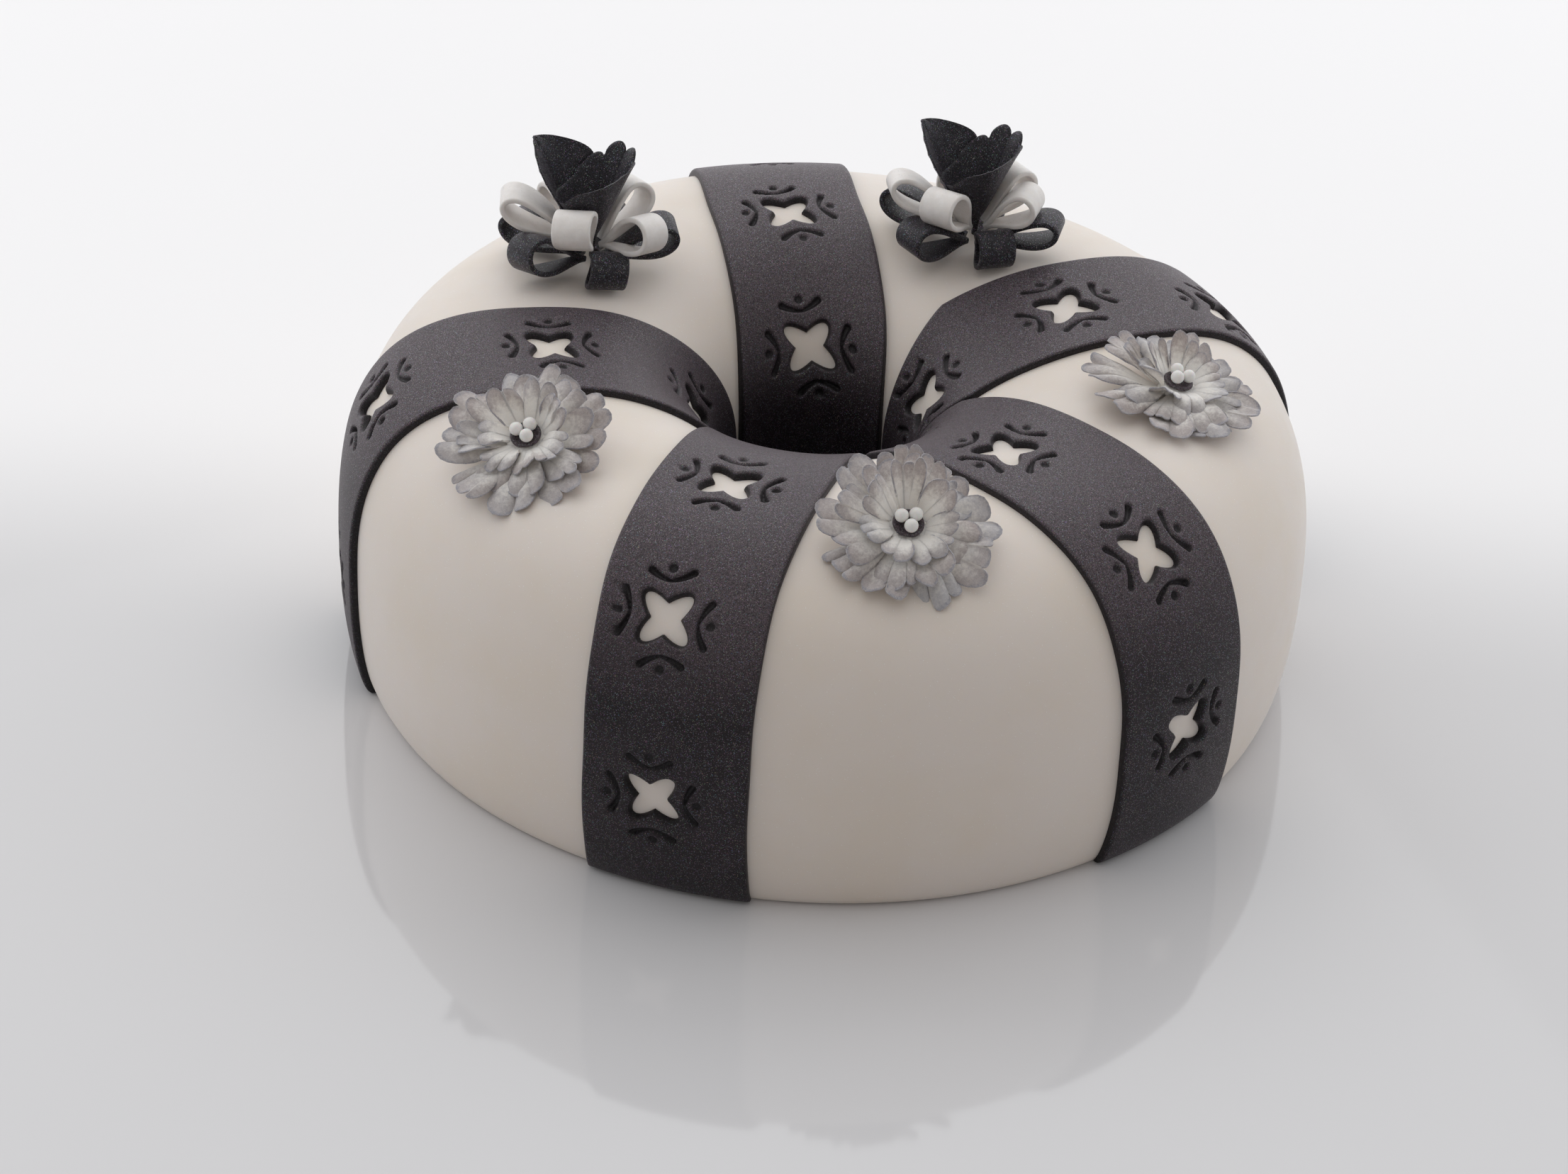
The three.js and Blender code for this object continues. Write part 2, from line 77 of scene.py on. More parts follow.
def smooth(values: Array | float, low: float, high: float) -> Array:
    """A soft step from 0 at low to 1 at high.

    Args:
        values: where to take the step.
        low: the value at which it starts.
        high: the value at which it ends.

    Returns:
        The step's height at each value.
    """
    share = np.clip((np.asarray(values, float) - low) / (high - low), 0.0, 1.0)
    return share * share * (3.0 - 2.0 * share)


def lerp(low: Array | float, high: Array | float, share: Array | float) -> Array:
    """The value at a share of the way from low to high."""
    return low + (np.asarray(high) - low) * share


def heading(degrees: float) -> Pair:
    """The cosine and the sine of an angle."""
    return math.cos(math.radians(degrees)), math.sin(math.radians(degrees))


def turned(axis: str, degrees: float) -> Array:
    """A 3 by 3 matrix that turns about an axis."""
    return np.array(Matrix.Rotation(math.radians(degrees), 3, axis))


def graded(low: float, high: float, spans: list[Pair], steps: Pair,
           rims: tuple[float, ...]) -> Array:
    """Stations from low to high, close together where detail is.

    Args:
        low: the first station.
        high: the last station.
        spans: the stretches that hold detail.
        steps: the step inside those stretches and the step outside them.
        rims: extra offsets from both ends, for rounded edges.

    Returns:
        The stations in growing order.
    """
    fine, coarse = steps
    found = [low + rim for rim in rims] + [high - rim for rim in rims]
    at = low + rims[-1]
    while at < high - rims[-1]:
        found.append(at)
        near = any(start - coarse < at < end for start, end in spans)
        at += fine if near else coarse
    ordered = np.unique(np.round(found, DECIMALS))
    keep = np.concatenate([[True], np.diff(ordered) > CLOSEST])
    return ordered[keep]


class NumberStream:
    """A repeatable stream of numbers between 0 and 1."""

    factor = 16807
    modulus = 2147483647

    def __init__(self, seed: int) -> None:
        """Starts the stream at a seed."""
        self.state = seed

    def draw(self, count: int, low: float, high: float) -> Array:
        """The next numbers, spread over a range.

        Args:
            count: how many numbers are drawn.
            low: the lowest that one can be.
            high: the highest that one can be.

        Returns:
            The numbers in the order of drawing.
        """
        values = []
        for _ in range(count):
            self.state = self.state * self.factor % self.modulus
            values.append(low + (high - low) * self.state / self.modulus)
        return np.array(values)


# ---- meshes


@dataclass
class Clay:
    """Points and polygons that grow shape by shape into one mesh.

    Attributes:
        points: arrays of points in millimetres.
        faces: polygons as tuples of point numbers.
        marks: for each named attribute, an array of values for each array of points.
        count: how many points there are so far.
    """

    points: list[Array] = field(default_factory=list)
    faces: Faces = field(default_factory=list)
    marks: dict[str, list[Array]] = field(default_factory=dict)
    count: int = 0

    def add(self, points: Array, faces: Faces, **marks: Array) -> None:
        """Adds a shape.

        Args:
            points: its points, n by 3.
            faces: its polygons, numbered from its own first point.
            marks: its named attributes, one value for each point.
        """
        self.faces.extend(tuple(int(k) + self.count for k in face) for face in faces)
        self.points.append(points)
        for name, values in marks.items():
            self.marks.setdefault(name, []).append(np.asarray(values, float).ravel())
        self.count += len(points)

    def place(self, turn: Array, shift: Array) -> None:
        """Turns and then shifts everything so far."""
        self.points = [points @ turn.T + shift for points in self.points]

    def cast(self, name: str, finish: "Finish", nodes: list[str],
             crease: float = CREASE) -> None:
        """Makes the mesh object, dresses it and lets it stand for its nodes.

        Args:
            name: the piece's name.
            finish: what it is dressed in.
            nodes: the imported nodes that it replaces.
            crease: the angle in degrees beyond which an edge stays sharp.
        """
        mesh = bpy.data.meshes.new(name)
        mesh.from_pydata((np.concatenate(self.points) * MM).tolist(), [], self.faces)
        for mark, values in self.marks.items():
            layer = mesh.attributes.new(mark, "FLOAT", "POINT")
            layer.data.foreach_set("value", np.concatenate(values).astype(np.float32))
        mesh.shade_smooth()
        mesh.set_sharp_from_angle(angle=math.radians(crease))
        piece = bpy.data.objects.new(name, mesh)
        bpy.context.scene.collection.objects.link(piece)
        piece.data.materials.append(finish.material())
        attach(piece, "root")
        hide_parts(*nodes)
        LOG.info("%s: %d points, %d faces", name, len(mesh.vertices), len(mesh.polygons))


def grid_faces(rows: int, columns: int, round_rows: bool = False,
               round_columns: bool = False) -> Faces:
    """The four-sided faces of a grid.

    Args:
        rows: how many rows of points it has.
        columns: how many points a row has.
        round_rows: whether the last row joins the first.
        round_columns: whether the last column joins the first.

    Returns:
        The faces as point numbers.
    """
    i, j = np.meshgrid(
        np.arange(rows if round_rows else rows - 1),
        np.arange(columns if round_columns else columns - 1),
        indexing="ij",
    )
    down, side = (i + 1) % rows, (j + 1) % columns
    corners = [i * columns + j, i * columns + side, down * columns + side, down * columns + j]
    return [tuple(face) for face in np.stack(corners, -1).reshape(-1, 4).tolist()]


def sheet_faces(rows: int, columns: int, round_columns: bool = False) -> Faces:
    """The faces of a thin sheet made of a front grid followed by a back grid.

    Args:
        rows: how many rows each grid has.
        columns: how many points a row has.
        round_columns: whether the sheet runs round and meets itself.

    Returns:
        Its front, its back and its rims.
    """
    front = grid_faces(rows, columns, round_columns=round_columns)
    behind = rows * columns
    back = [tuple(k + behind for k in reversed(face)) for face in front]
    last = (rows - 1) * columns
    runs = [[(j + 1) % columns, j] for j in range(columns if round_columns else columns - 1)]
    rims = [(a, b, b + behind, a + behind) for a, b in runs]
    rims += [(last + b, last + a, last + a + behind, last + b + behind) for a, b in runs]
    if not round_columns:
        for i in range(rows - 1):
            left, right = i * columns, (i + 1) * columns - 1
            rims.append((left, left + columns, left + columns + behind, left + behind))
            rims.append((right + columns, right, right + behind, right + columns + behind))
    return front + back + rims


def grid_normals(grid: Array) -> Array:
    """The direction square to a grid of points at each of them.

    Args:
        grid: rows by columns by 3.

    Returns:
        Unit vectors in the same layout.
    """
    down, across = np.gradient(grid, axis=0), np.gradient(grid, axis=1)
    normal = np.cross(across, down)
    return normal / np.maximum(np.linalg.norm(normal, axis=-1, keepdims=True), TINY)


def lathe(profile: list[Pair], sides: int) -> Shape:
    """A solid turned about Z.

    Args:
        profile: radius and height of each ring, from the bottom's middle to the top's.
        sides: how many points a ring has.

    Returns:
        The points and the faces.
    """
    angles = np.arange(sides) / sides * 2 * math.pi
    points = np.array([
        [radius * math.cos(angle), radius * math.sin(angle), height]
        for radius, height in profile
        for angle in angles
    ])
    faces = grid_faces(len(profile), sides, round_columns=True)
    last = (len(profile) - 1) * sides
    faces.append(tuple(reversed(range(sides))))
    faces.append(tuple(range(last, last + sides)))
    return points, faces


# ---- finishes


class Recipe:
    """Builds one node material step by step, in millimetres.

    Attributes:
        mix_inputs: where a colour mix takes its share and its two colours.
        mix_output: where it gives the mixed colour.
    """

    mix_inputs = (0, 6, 7)
    mix_output = 2

    def __init__(self, name: str) -> None:
        """Starts a material with one surface shader.

        Args:
            name: the material's name.
        """
        self.material = bpy.data.materials.new(name)
        self.material.use_nodes = True
        self.tree = self.material.node_tree
        self.tree.nodes.clear()
        output = self.node("OutputMaterial")
        self.surface = self.node("BsdfPrincipled")
        self.tree.links.new(self.surface.outputs[0], output.inputs[0])
        self.place = self.node("TexCoord").outputs["Object"]

    def node(self, kind: str) -> bpy.types.Node:
        """Adds a shader node of a kind."""
        return self.tree.nodes.new(f"ShaderNode{kind}")

    def feed(self, socket: Socket, value: Socket | float | Color) -> None:
        """Links a socket or sets its own value.

        Args:
            socket: the input that is fed.
            value: the output to link to it, or the number or colour to set.
        """
        if isinstance(value, bpy.types.NodeSocket):
            self.tree.links.new(value, socket)
        elif isinstance(value, tuple) and len(value) == 3 and socket.type == "RGBA":
            socket.default_value = (*value, 1.0)
        else:
            socket.default_value = value

    def set(self, **inputs: Socket | float | Color) -> None:
        """Feeds the surface shader's inputs, named with underscores for spaces."""
        for name, value in inputs.items():
            self.feed(self.surface.inputs[name.replace("_", " ")], value)

    def noise(self, size: float, detail: float, rough: float = 0.5) -> Socket:
        """A cloudy pattern.

        Args:
            size: how large its lumps are, in millimetres.
            detail: how many finer layers it has.
            rough: how strong those layers are.

        Returns:
            Its value, about 0.5 in the middle.
        """
        node = self.node("TexNoise")
        self.feed(node.inputs["Vector"], self.place)
        node.inputs["Scale"].default_value = 1.0 / (size * MM)
        node.inputs["Detail"].default_value = detail
        node.inputs["Roughness"].default_value = rough
        return node.outputs[0]

    def cells(self, size: float) -> tuple[Socket, Socket]:
        """Random cells.

        Args:
            size: how large a cell is, in millimetres.

        Returns:
            The way to each cell's middle, and its random colour.
        """
        node = self.node("TexVoronoi")
        self.feed(node.inputs["Vector"], self.place)
        node.inputs["Scale"].default_value = 1.0 / (size * MM)
        return node.outputs["Distance"], node.outputs["Color"]

    def attribute(self, name: str) -> Socket:
        """A value that the mesh carries at each point.

        Args:
            name: what the mesh calls it.

        Returns:
            The value.
        """
        node = self.node("Attribute")
        node.attribute_name = name
        return node.outputs["Fac"]

    def channel(self, color: Socket, index: int) -> Socket:
        """One channel of a colour.

        Args:
            color: the colour.
            index: 0 for red, 1 for green and 2 for blue.

        Returns:
            The channel's value.
        """
        node = self.node("SeparateColor")
        self.feed(node.inputs[0], color)
        return node.outputs[index]

    def along(self, axis: int) -> Socket:
        """The place along one axis of the frame.

        Args:
            axis: 0 for X, 1 for Y and 2 for Z.

        Returns:
            The place in metres.
        """
        node = self.node("SeparateXYZ")
        self.feed(node.inputs[0], self.place)
        return node.outputs[axis]

    def math(self, operation: str, first: Socket | float, second: Socket | float) -> Socket:
        """One sum of two values.

        Args:
            operation: the sum's name in the node.
            first: the first value.
            second: the second value.

        Returns:
            The outcome.
        """
        node = self.node("Math")
        node.operation = operation
        self.feed(node.inputs[0], first)
        self.feed(node.inputs[1], second)
        return node.outputs[0]

    def span(self, value: Socket, source: Pair, target: Pair = UNIT) -> Socket:
        """Maps one range of a value onto another, held at its ends.

        Args:
            value: what is mapped.
            source: the range that it comes from.
            target: the range that it goes to.

        Returns:
            The mapped value.
        """
        node = self.node("MapRange")
        node.interpolation_type = "SMOOTHSTEP"
        self.feed(node.inputs[0], value)
        for index, number in enumerate([*source, *target], start=1):
            node.inputs[index].default_value = number
        return node.outputs[0]

    def blend(self, share: Socket | float, first: Socket | Color,
              second: Socket | Color) -> Socket:
        """Mixes two colours.

        Args:
            share: how much of the second one shows.
            first: the first colour.
            second: the second colour.

        Returns:
            The mixed colour.
        """
        node = self.node("Mix")
        node.data_type = "RGBA"
        for index, value in zip(self.mix_inputs, (share, first, second)):
            self.feed(node.inputs[index], value)
        return node.outputs[self.mix_output]

    def bump(self, height: Socket, rise: float, normal: Socket | None = None) -> Socket:
        """Relief from a value between 0 and 1.

        Args:
            height: the value.
            rise: how far it stands out, in millimetres.
            normal: the relief that it is added to.

        Returns:
            The new surface direction.
        """
        node = self.node("Bump")
        node.inputs["Distance"].default_value = rise * MM
        self.feed(node.inputs["Height"], height)
        if normal is not None:
            self.feed(node.inputs["Normal"], normal)
        return node.outputs[0]

    def tilt(self, color: Socket, amount: float, share: Socket) -> Socket:
        """The surface direction, tilted at random by a colour.

        Args:
            color: the colour whose three channels give the tilt.
            amount: how strong the tilt is.
            share: where it counts.

        Returns:
            The tilted direction.
        """
        offset = self.node("VectorMath")
        offset.operation = "SUBTRACT"
        self.feed(offset.inputs[0], color)
        offset.inputs[1].default_value = (0.5, 0.5, 0.5)
        sized = self.node("VectorMath")
        sized.operation = "SCALE"
        self.feed(sized.inputs[0], offset.outputs[0])
        self.feed(sized.inputs["Scale"], self.math("MULTIPLY", share, amount))
        total = self.node("VectorMath")
        total.operation = "ADD"
        self.feed(total.inputs[0], sized.outputs[0])
        self.feed(total.inputs[1], self.node("NewGeometry").outputs["Normal"])
        unit = self.node("VectorMath")
        unit.operation = "NORMALIZE"
        self.feed(unit.inputs[0], total.outputs[0])
        return unit.outputs[0]


class Finish:
    """A surface that pieces are dressed in.

    Attributes:
        name: its material's name.
        slot: the record's material slot that it stands for; not used here.
    """

    name: str
    slot: str

    def cook(self, recipe: Recipe) -> None:
        """Fills in the material's nodes."""
        raise NotImplementedError

    def material(self) -> bpy.types.Material:
        """Makes the material once and then shares it.

        Returns:
            The material.
        """
        found = bpy.data.materials.get(self.name)
        if found is None:
            recipe = Recipe(self.name)
            self.cook(recipe)
            found = recipe.material
        return found


@dataclass(frozen=True)
class IvoryFondant(Finish):
    """Rolled ivory fondant: satin, faintly mottled, with a fine pitted skin.

    Attributes:
        pit: the tone at the bottom of its pits.
        sugar: the tone of its rare bright grains.
        grain: the size and rise of its pitted skin.
        sugar_size: the size of the cells that may hold a bright grain.
        sugar_share: the span of a cell's random value that makes it bright.
        sugar_edge: where in its cell a grain fades.
        sugar_strength: how bright it is.
    """

    name: str = "rolled_ivory"
    slot: str = "ivory_fondant"
    color: Color = (0.80, 0.725, 0.665)
    warm: Color = (0.785, 0.70, 0.615)
    pit: Color = (0.5, 0.45, 0.4)
    sugar: Color = (1.0, 1.0, 1.0)
    mottle: float = 34.0
    dimple: Pair = (14.0, 0.10)
    grain: Pair = (0.9, 0.012)
    satin: float = 6.0
    gloss: Pair = (0.42, 0.54)
    sugar_size: float = 0.34
    sugar_share: Pair = (0.965, 0.985)
    sugar_edge: Pair = (0.15, 0.4)
    sugar_strength: float = 0.75

    def cook(self, recipe: Recipe) -> None:
        """Fills in the material's nodes.

        Args:
            recipe: the material.
        """
        mottle = recipe.span(recipe.noise(self.mottle, 3.0, 0.55), (0.35, 0.75))
        color = recipe.blend(mottle, self.color, self.warm)
        grain = recipe.noise(self.grain[0], 3.0, 0.6)
        color = recipe.blend(recipe.span(grain, (0.2, 0.45), (0.05, 0.0)), color, self.pit)
        # Rare white grains: partly the sugar's own white, partly a painted glint put into the base
        # colour.
        distance, pick = recipe.cells(self.sugar_size)
        chosen = recipe.span(recipe.channel(pick, 0), self.sugar_share)
        fading = recipe.span(distance, self.sugar_edge, (self.sugar_strength, 0.0))
        dimples = recipe.noise(self.dimple[0], 2.0)
        recipe.set(
            Base_Color=recipe.blend(recipe.math("MULTIPLY", chosen, fading), color, self.sugar),
            Roughness=recipe.span(recipe.noise(self.satin, 4.0), NOISE_CORE, self.gloss),
            Normal=recipe.bump(dimples, self.dimple[1], recipe.bump(grain, self.grain[1])),
            Subsurface_Weight=0.25,
            Subsurface_Radius=(1.0, 0.7, 0.45),
            Subsurface_Scale=0.004,
            Specular_IOR_Level=0.4,
            Sheen_Weight=0.15,
            Sheen_Roughness=0.4,
        )


class Glitter(Enum):
    """The glitter on black paste: cell size, share of cells that shine, and their strength."""

    FINE = (0.22, 0.44, 0.42)
    COARSE = (0.25, 0.38, 0.62)


@dataclass(frozen=True)
class BlackPaste(Finish):
    """Black sugar paste dusted with pearl glitter, with a painted sheen high up and painted shade
    in its pressed places.

    Attributes:
        color: the paste low down, where little dust lies and no painted sheen is added.
        dust: its dustier patches there.
        top: the paste high up, where dust settles and a painted sheen stands for the light from
            above.
        bare_and_shaded: the paste without dust, in its bare specks and in its pressed grooves,
            where it is also painted shade.
        silver: the glitter's own colour.
        hue_share: how much of a random colour joins it.
        hue_size: the size of that colour's cells, as a share of a flake's.
        flake_edge: where in its cell a flake ends.
        dust_and_sheen_heights: the heights in metres between which the dust and the painted sheen
            grow.
        speckle: the size of the bare specks, as a share of a flake's, and how bare they are.
        groove: the pressed depths at which the painted shade, with the loss of dust, starts and is
            full.
        groove_shade_share: how much painted shade and loss of dust there is there.
        groove_flakes: how much of the glitter stays there.
        gloss: the roughness of the paste and of a flake.
        grain: the size and rise of the paste's grain.
    """

    name: str
    slot: str
    glitter: Glitter
    color: Color = (0.011, 0.0065, 0.009)
    dust: Color = (0.027, 0.0165, 0.022)
    top: Color = (0.105, 0.080, 0.091)
    bare_and_shaded: Color = (0.0035, 0.0028, 0.0034)
    silver: Color = (0.47, 0.46, 0.56)
    hue_share: float = 0.45
    hue_size: float = 1.37
    flake_edge: Pair = (0.28, 0.62)
    patch: float = 9.0
    dust_and_sheen_heights: Pair = (0.052, 0.083)
    speckle: Pair = (0.8, 0.8)
    groove: Pair = (0.1, 0.7)
    groove_shade_share: float = 0.85
    groove_flakes: float = 0.25
    metal: float = 0.7
    gloss: Pair = (0.5, 0.3)
    tilt: float = 0.9
    grain: Pair = (0.5, 0.02)

    def cook(self, recipe: Recipe) -> None:
        """Fills in the material's nodes.

        Args:
            recipe: the material.
        """
        size, share, strength = self.glitter.value
        distance, color = recipe.cells(size)
        flake = recipe.math(
            "MULTIPLY",
            recipe.span(recipe.channel(color, 0), (1.0 - share, 1.0)),
            recipe.span(distance, self.flake_edge, (1.0, 0.0)),
        )
        _, hue = recipe.cells(size * self.hue_size)
        shine = recipe.blend(self.hue_share, self.silver, hue)
        cloud = recipe.span(recipe.noise(self.patch, 4.0, 0.6), NOISE_CORE)
        base = recipe.blend(cloud, self.color, self.dust)
        # Lighter higher up: settled dust, and a painted sheen for the light that falls on the tops.
        base = recipe.blend(recipe.span(recipe.along(2), self.dust_and_sheen_heights), base, self.top)
        _, fine = recipe.cells(size * self.speckle[0])
        speckle = recipe.span(recipe.channel(fine, 1), UNIT, (0.0, self.speckle[1]))
        base = recipe.blend(speckle, base, self.bare_and_shaded)
        # Darker in pressed grooves, star walls, rounded edges and the underside: less dust, and
        # painted shade where those places lie in shadow.
        groove = recipe.span(recipe.attribute("pressed"), self.groove)
        base = recipe.blend(recipe.math("MULTIPLY", groove, self.groove_shade_share), base, self.bare_and_shaded)
        flake = recipe.math(
            "MULTIPLY", flake, recipe.span(groove, UNIT, (1.0, self.groove_flakes))
        )
        grain = recipe.noise(self.grain[0], 3.0, 0.6)
        recipe.set(
            Base_Color=recipe.blend(recipe.math("MULTIPLY", flake, strength), base, shine),
            Metallic=recipe.math("MULTIPLY", flake, self.metal),
            Roughness=recipe.span(flake, UNIT, self.gloss),
            Normal=recipe.bump(grain, self.grain[1], recipe.tilt(color, self.tilt, flake)),
            Specular_IOR_Level=0.28,
            Sheen_Weight=0.08,
            Sheen_Roughness=0.45,
            Sheen_Tint=(1.0, 0.87, 0.95, 1.0),
        )


@dataclass(frozen=True)
class SugarPetal(Finish):
    """Dry sugar petal: cream at its foot, dusted grey towards its lobes and darker on its edge.

    Attributes:
        powder: the size and rise of its powder.
        grain: the size and rise of its fine grain.
        reach: where along a petal the dusting starts and is full.
        reach_stray: how far the powder shifts that place.
        rim: the span of the rim's mark over which the edge darkens.
        rim_stray: how far the powder shifts it.
        rim_share: how much of the edge's tone shows.
        fold_span: the span of a crease's mark that shows.
        fold_share: how much of the crease's tone shows.
        bloom_share: how much of the finest powder shows.
    """

    name: str = "dusted_petal"
    slot: str = "sugar_petal"
    cream: Color = (0.88, 0.84, 0.79)
    grey: Color = (0.43, 0.415, 0.43)
    brown: Color = (0.37, 0.315, 0.305)
    edge: Color = (0.22, 0.225, 0.27)
    fold: Color = (0.66, 0.62, 0.58)
    bloom: Color = (0.72, 0.70, 0.68)
    powder: Pair = (1.1, 0.06)
    grain: Pair = (0.35, 0.03)
    reach: Pair = (0.45, 0.95)
    reach_stray: Pair = (-0.1, 0.1)
    rim: Pair = (0.45, 1.1)
    rim_stray: Pair = (-0.25, 0.25)
    rim_share: float = 0.8
    fold_span: Pair = (0.2, 1.0)
    fold_share: float = 0.55
    bloom_share: float = 0.3
    gloss: Pair = (0.78, 0.92)

    def cook(self, recipe: Recipe) -> None:
        """Fills in the material's nodes.

        Args:
            recipe: the material.
        """
        powder = recipe.noise(self.powder[0], 5.0, 0.7)
        dusting = recipe.blend(recipe.attribute("tint"), self.grey, self.brown)
        stray = recipe.span(powder, NOISE_CORE, self.reach_stray)
        reach = recipe.math("ADD", recipe.attribute("tip"), stray)
        color = recipe.blend(recipe.span(reach, self.reach), self.cream, dusting)
        stray = recipe.span(powder, NOISE_CORE, self.rim_stray)
        rim = recipe.math("ADD", recipe.attribute("rim"), stray)
        color = recipe.blend(recipe.span(rim, self.rim, (0.0, self.rim_share)), color, self.edge)
        crease = recipe.span(recipe.attribute("crease"), self.fold_span, (0.0, self.fold_share))
        color = recipe.blend(crease, color, self.fold)
        grain = recipe.noise(self.grain[0], 3.0, 0.7)
        bloom = recipe.span(grain, NOISE_CORE, (0.0, self.bloom_share))
        recipe.set(
            Base_Color=recipe.blend(bloom, color, self.bloom),
            Roughness=recipe.span(powder, NOISE_CORE, self.gloss),
            Normal=recipe.bump(grain, self.grain[1], recipe.bump(powder, self.powder[1])),
            Specular_IOR_Level=0.25,
            Subsurface_Weight=0.3,
            Subsurface_Radius=(1.0, 0.85, 0.7),
            Subsurface_Scale=0.0012,
            Sheen_Weight=0.2,
            Sheen_Roughness=0.5,
        )


@dataclass(frozen=True)
class WhitePaste(Finish):
    """White sugar paste strip with a faint shimmer.

    Attributes:
        patch: the size of its duller patches.
        flake: the size of the cells that may shimmer.
        flake_share: the span of a cell's random value that makes it shimmer.
        flake_edge: where in its cell a flake ends.
        gloss: the roughness of the paste and of a flake.
        grain: the size and rise of the paste's grain.
    """

    name: str = "white_satin_paste"
    slot: str = "white_sugar"
    color: Color = (0.85, 0.815, 0.79)
    shade: Color = (0.79, 0.75, 0.72)
    patch: float = 3.0
    flake: float = 0.3
    flake_share: Pair = (0.85, 1.0)
    flake_edge: Pair = (0.3, 0.6)
    gloss: Pair = (0.46, 0.25)
    tilt: float = 0.5
    grain: Pair = (0.6, 0.012)

    def cook(self, recipe: Recipe) -> None:
        """Fills in the material's nodes.

        Args:
            recipe: the material.
        """
        cloud = recipe.span(recipe.noise(self.patch, 4.0, 0.6), NOISE_CORE)
        distance, color = recipe.cells(self.flake)
        flake = recipe.math(
            "MULTIPLY",
            recipe.span(recipe.channel(color, 1), self.flake_share),
            recipe.span(distance, self.flake_edge, (1.0, 0.0)),
        )
        grain = recipe.noise(self.grain[0], 4.0, 0.6)
        recipe.set(
            Base_Color=recipe.blend(cloud, self.color, self.shade),
            Roughness=recipe.span(flake, UNIT, self.gloss),
            Normal=recipe.bump(grain, self.grain[1], recipe.tilt(color, self.tilt, flake)),
            Subsurface_Weight=0.2,
            Subsurface_Radius=(1.0, 0.8, 0.6),
            Subsurface_Scale=0.0015,
        )


@dataclass(frozen=True)
class SugarPearl(Finish):
    """White glazed sugar pearl.

    Attributes:
        patch: the size of its duller patches, and how much they show.
        glaze: the size of the duller spots of its glaze.
        grain: the size and rise of its unevenness.
    """

    name: str = "glazed_pearl"
    slot: str = "sugar_pearl"
    color: Color = (0.86, 0.845, 0.82)
    shade: Color = (0.72, 0.70, 0.68)
    patch: Pair = (1.2, 0.35)
    glaze: float = 0.7
    gloss: Pair = (0.36, 0.5)
    grain: Pair = (0.5, 0.02)

    def cook(self, recipe: Recipe) -> None:
        """Fills in the material's nodes.

        Args:
            recipe: the material.
        """
        cloud = recipe.span(recipe.noise(self.patch[0], 3.0), NOISE_CORE, (0.0, self.patch[1]))
        recipe.set(
            Base_Color=recipe.blend(cloud, self.color, self.shade),
            Roughness=recipe.span(recipe.noise(self.glaze, 3.0), NOISE_CORE, self.gloss),
            Normal=recipe.bump(recipe.noise(self.grain[0], 2.0), self.grain[1]),
            Coat_Weight=0.15,
            Coat_Roughness=0.3,
            Subsurface_Weight=0.2,
            Subsurface_Scale=0.001,
        )


@dataclass(frozen=True)
class Tabletop(Finish):
    """A pale glossy table, darker in front with painted shade and brighter at the back.

    Attributes:
        change: the places along Y, in metres, between which the painted shade in front gives way to
            the bright back.
    """

    name: str = "tabletop"
    slot: str = ""
    # Painted shade: the table in front of the cake is darkened.
    front: Color = (0.70, 0.69, 0.70)
    back: Color = (0.945, 0.93, 0.935)
    change: Pair = (-0.02, 0.11)

    def cook(self, recipe: Recipe) -> None:
        """Fills in the material's nodes.

        Args:
            recipe: the material.
        """
        # Painted shade, darker towards the front.
        share = recipe.span(recipe.along(1), self.change)
        recipe.set(
            Base_Color=recipe.blend(share, self.front, self.back),
            Roughness=0.06,
            Specular_IOR_Level=0.5,
        )


IVORY = IvoryFondant()
BAND_BLACK = BlackPaste("black_pearl_paste", "black_fondant", Glitter.FINE)
BUTTON_BLACK = BlackPaste(
    "black_button_paste",
    "black_fondant",
    Glitter.FINE,
    color=(0.008, 0.008, 0.009),
    dust=(0.02, 0.019, 0.02),
)
BOW_BLACK = BlackPaste(
    "black_glitter_paste",
    "black_glitter_sugar",
    Glitter.COARSE,
    color=(0.015, 0.014, 0.0165),
    dust=(0.038, 0.034, 0.040),
    # The bow's top tone is settled dust and a painted sheen as well.
    top=(0.048, 0.045, 0.053),
)
PETAL = SugarPetal()
WHITE = WhitePaste()
PEARL = SugarPearl()


# ---- the ring


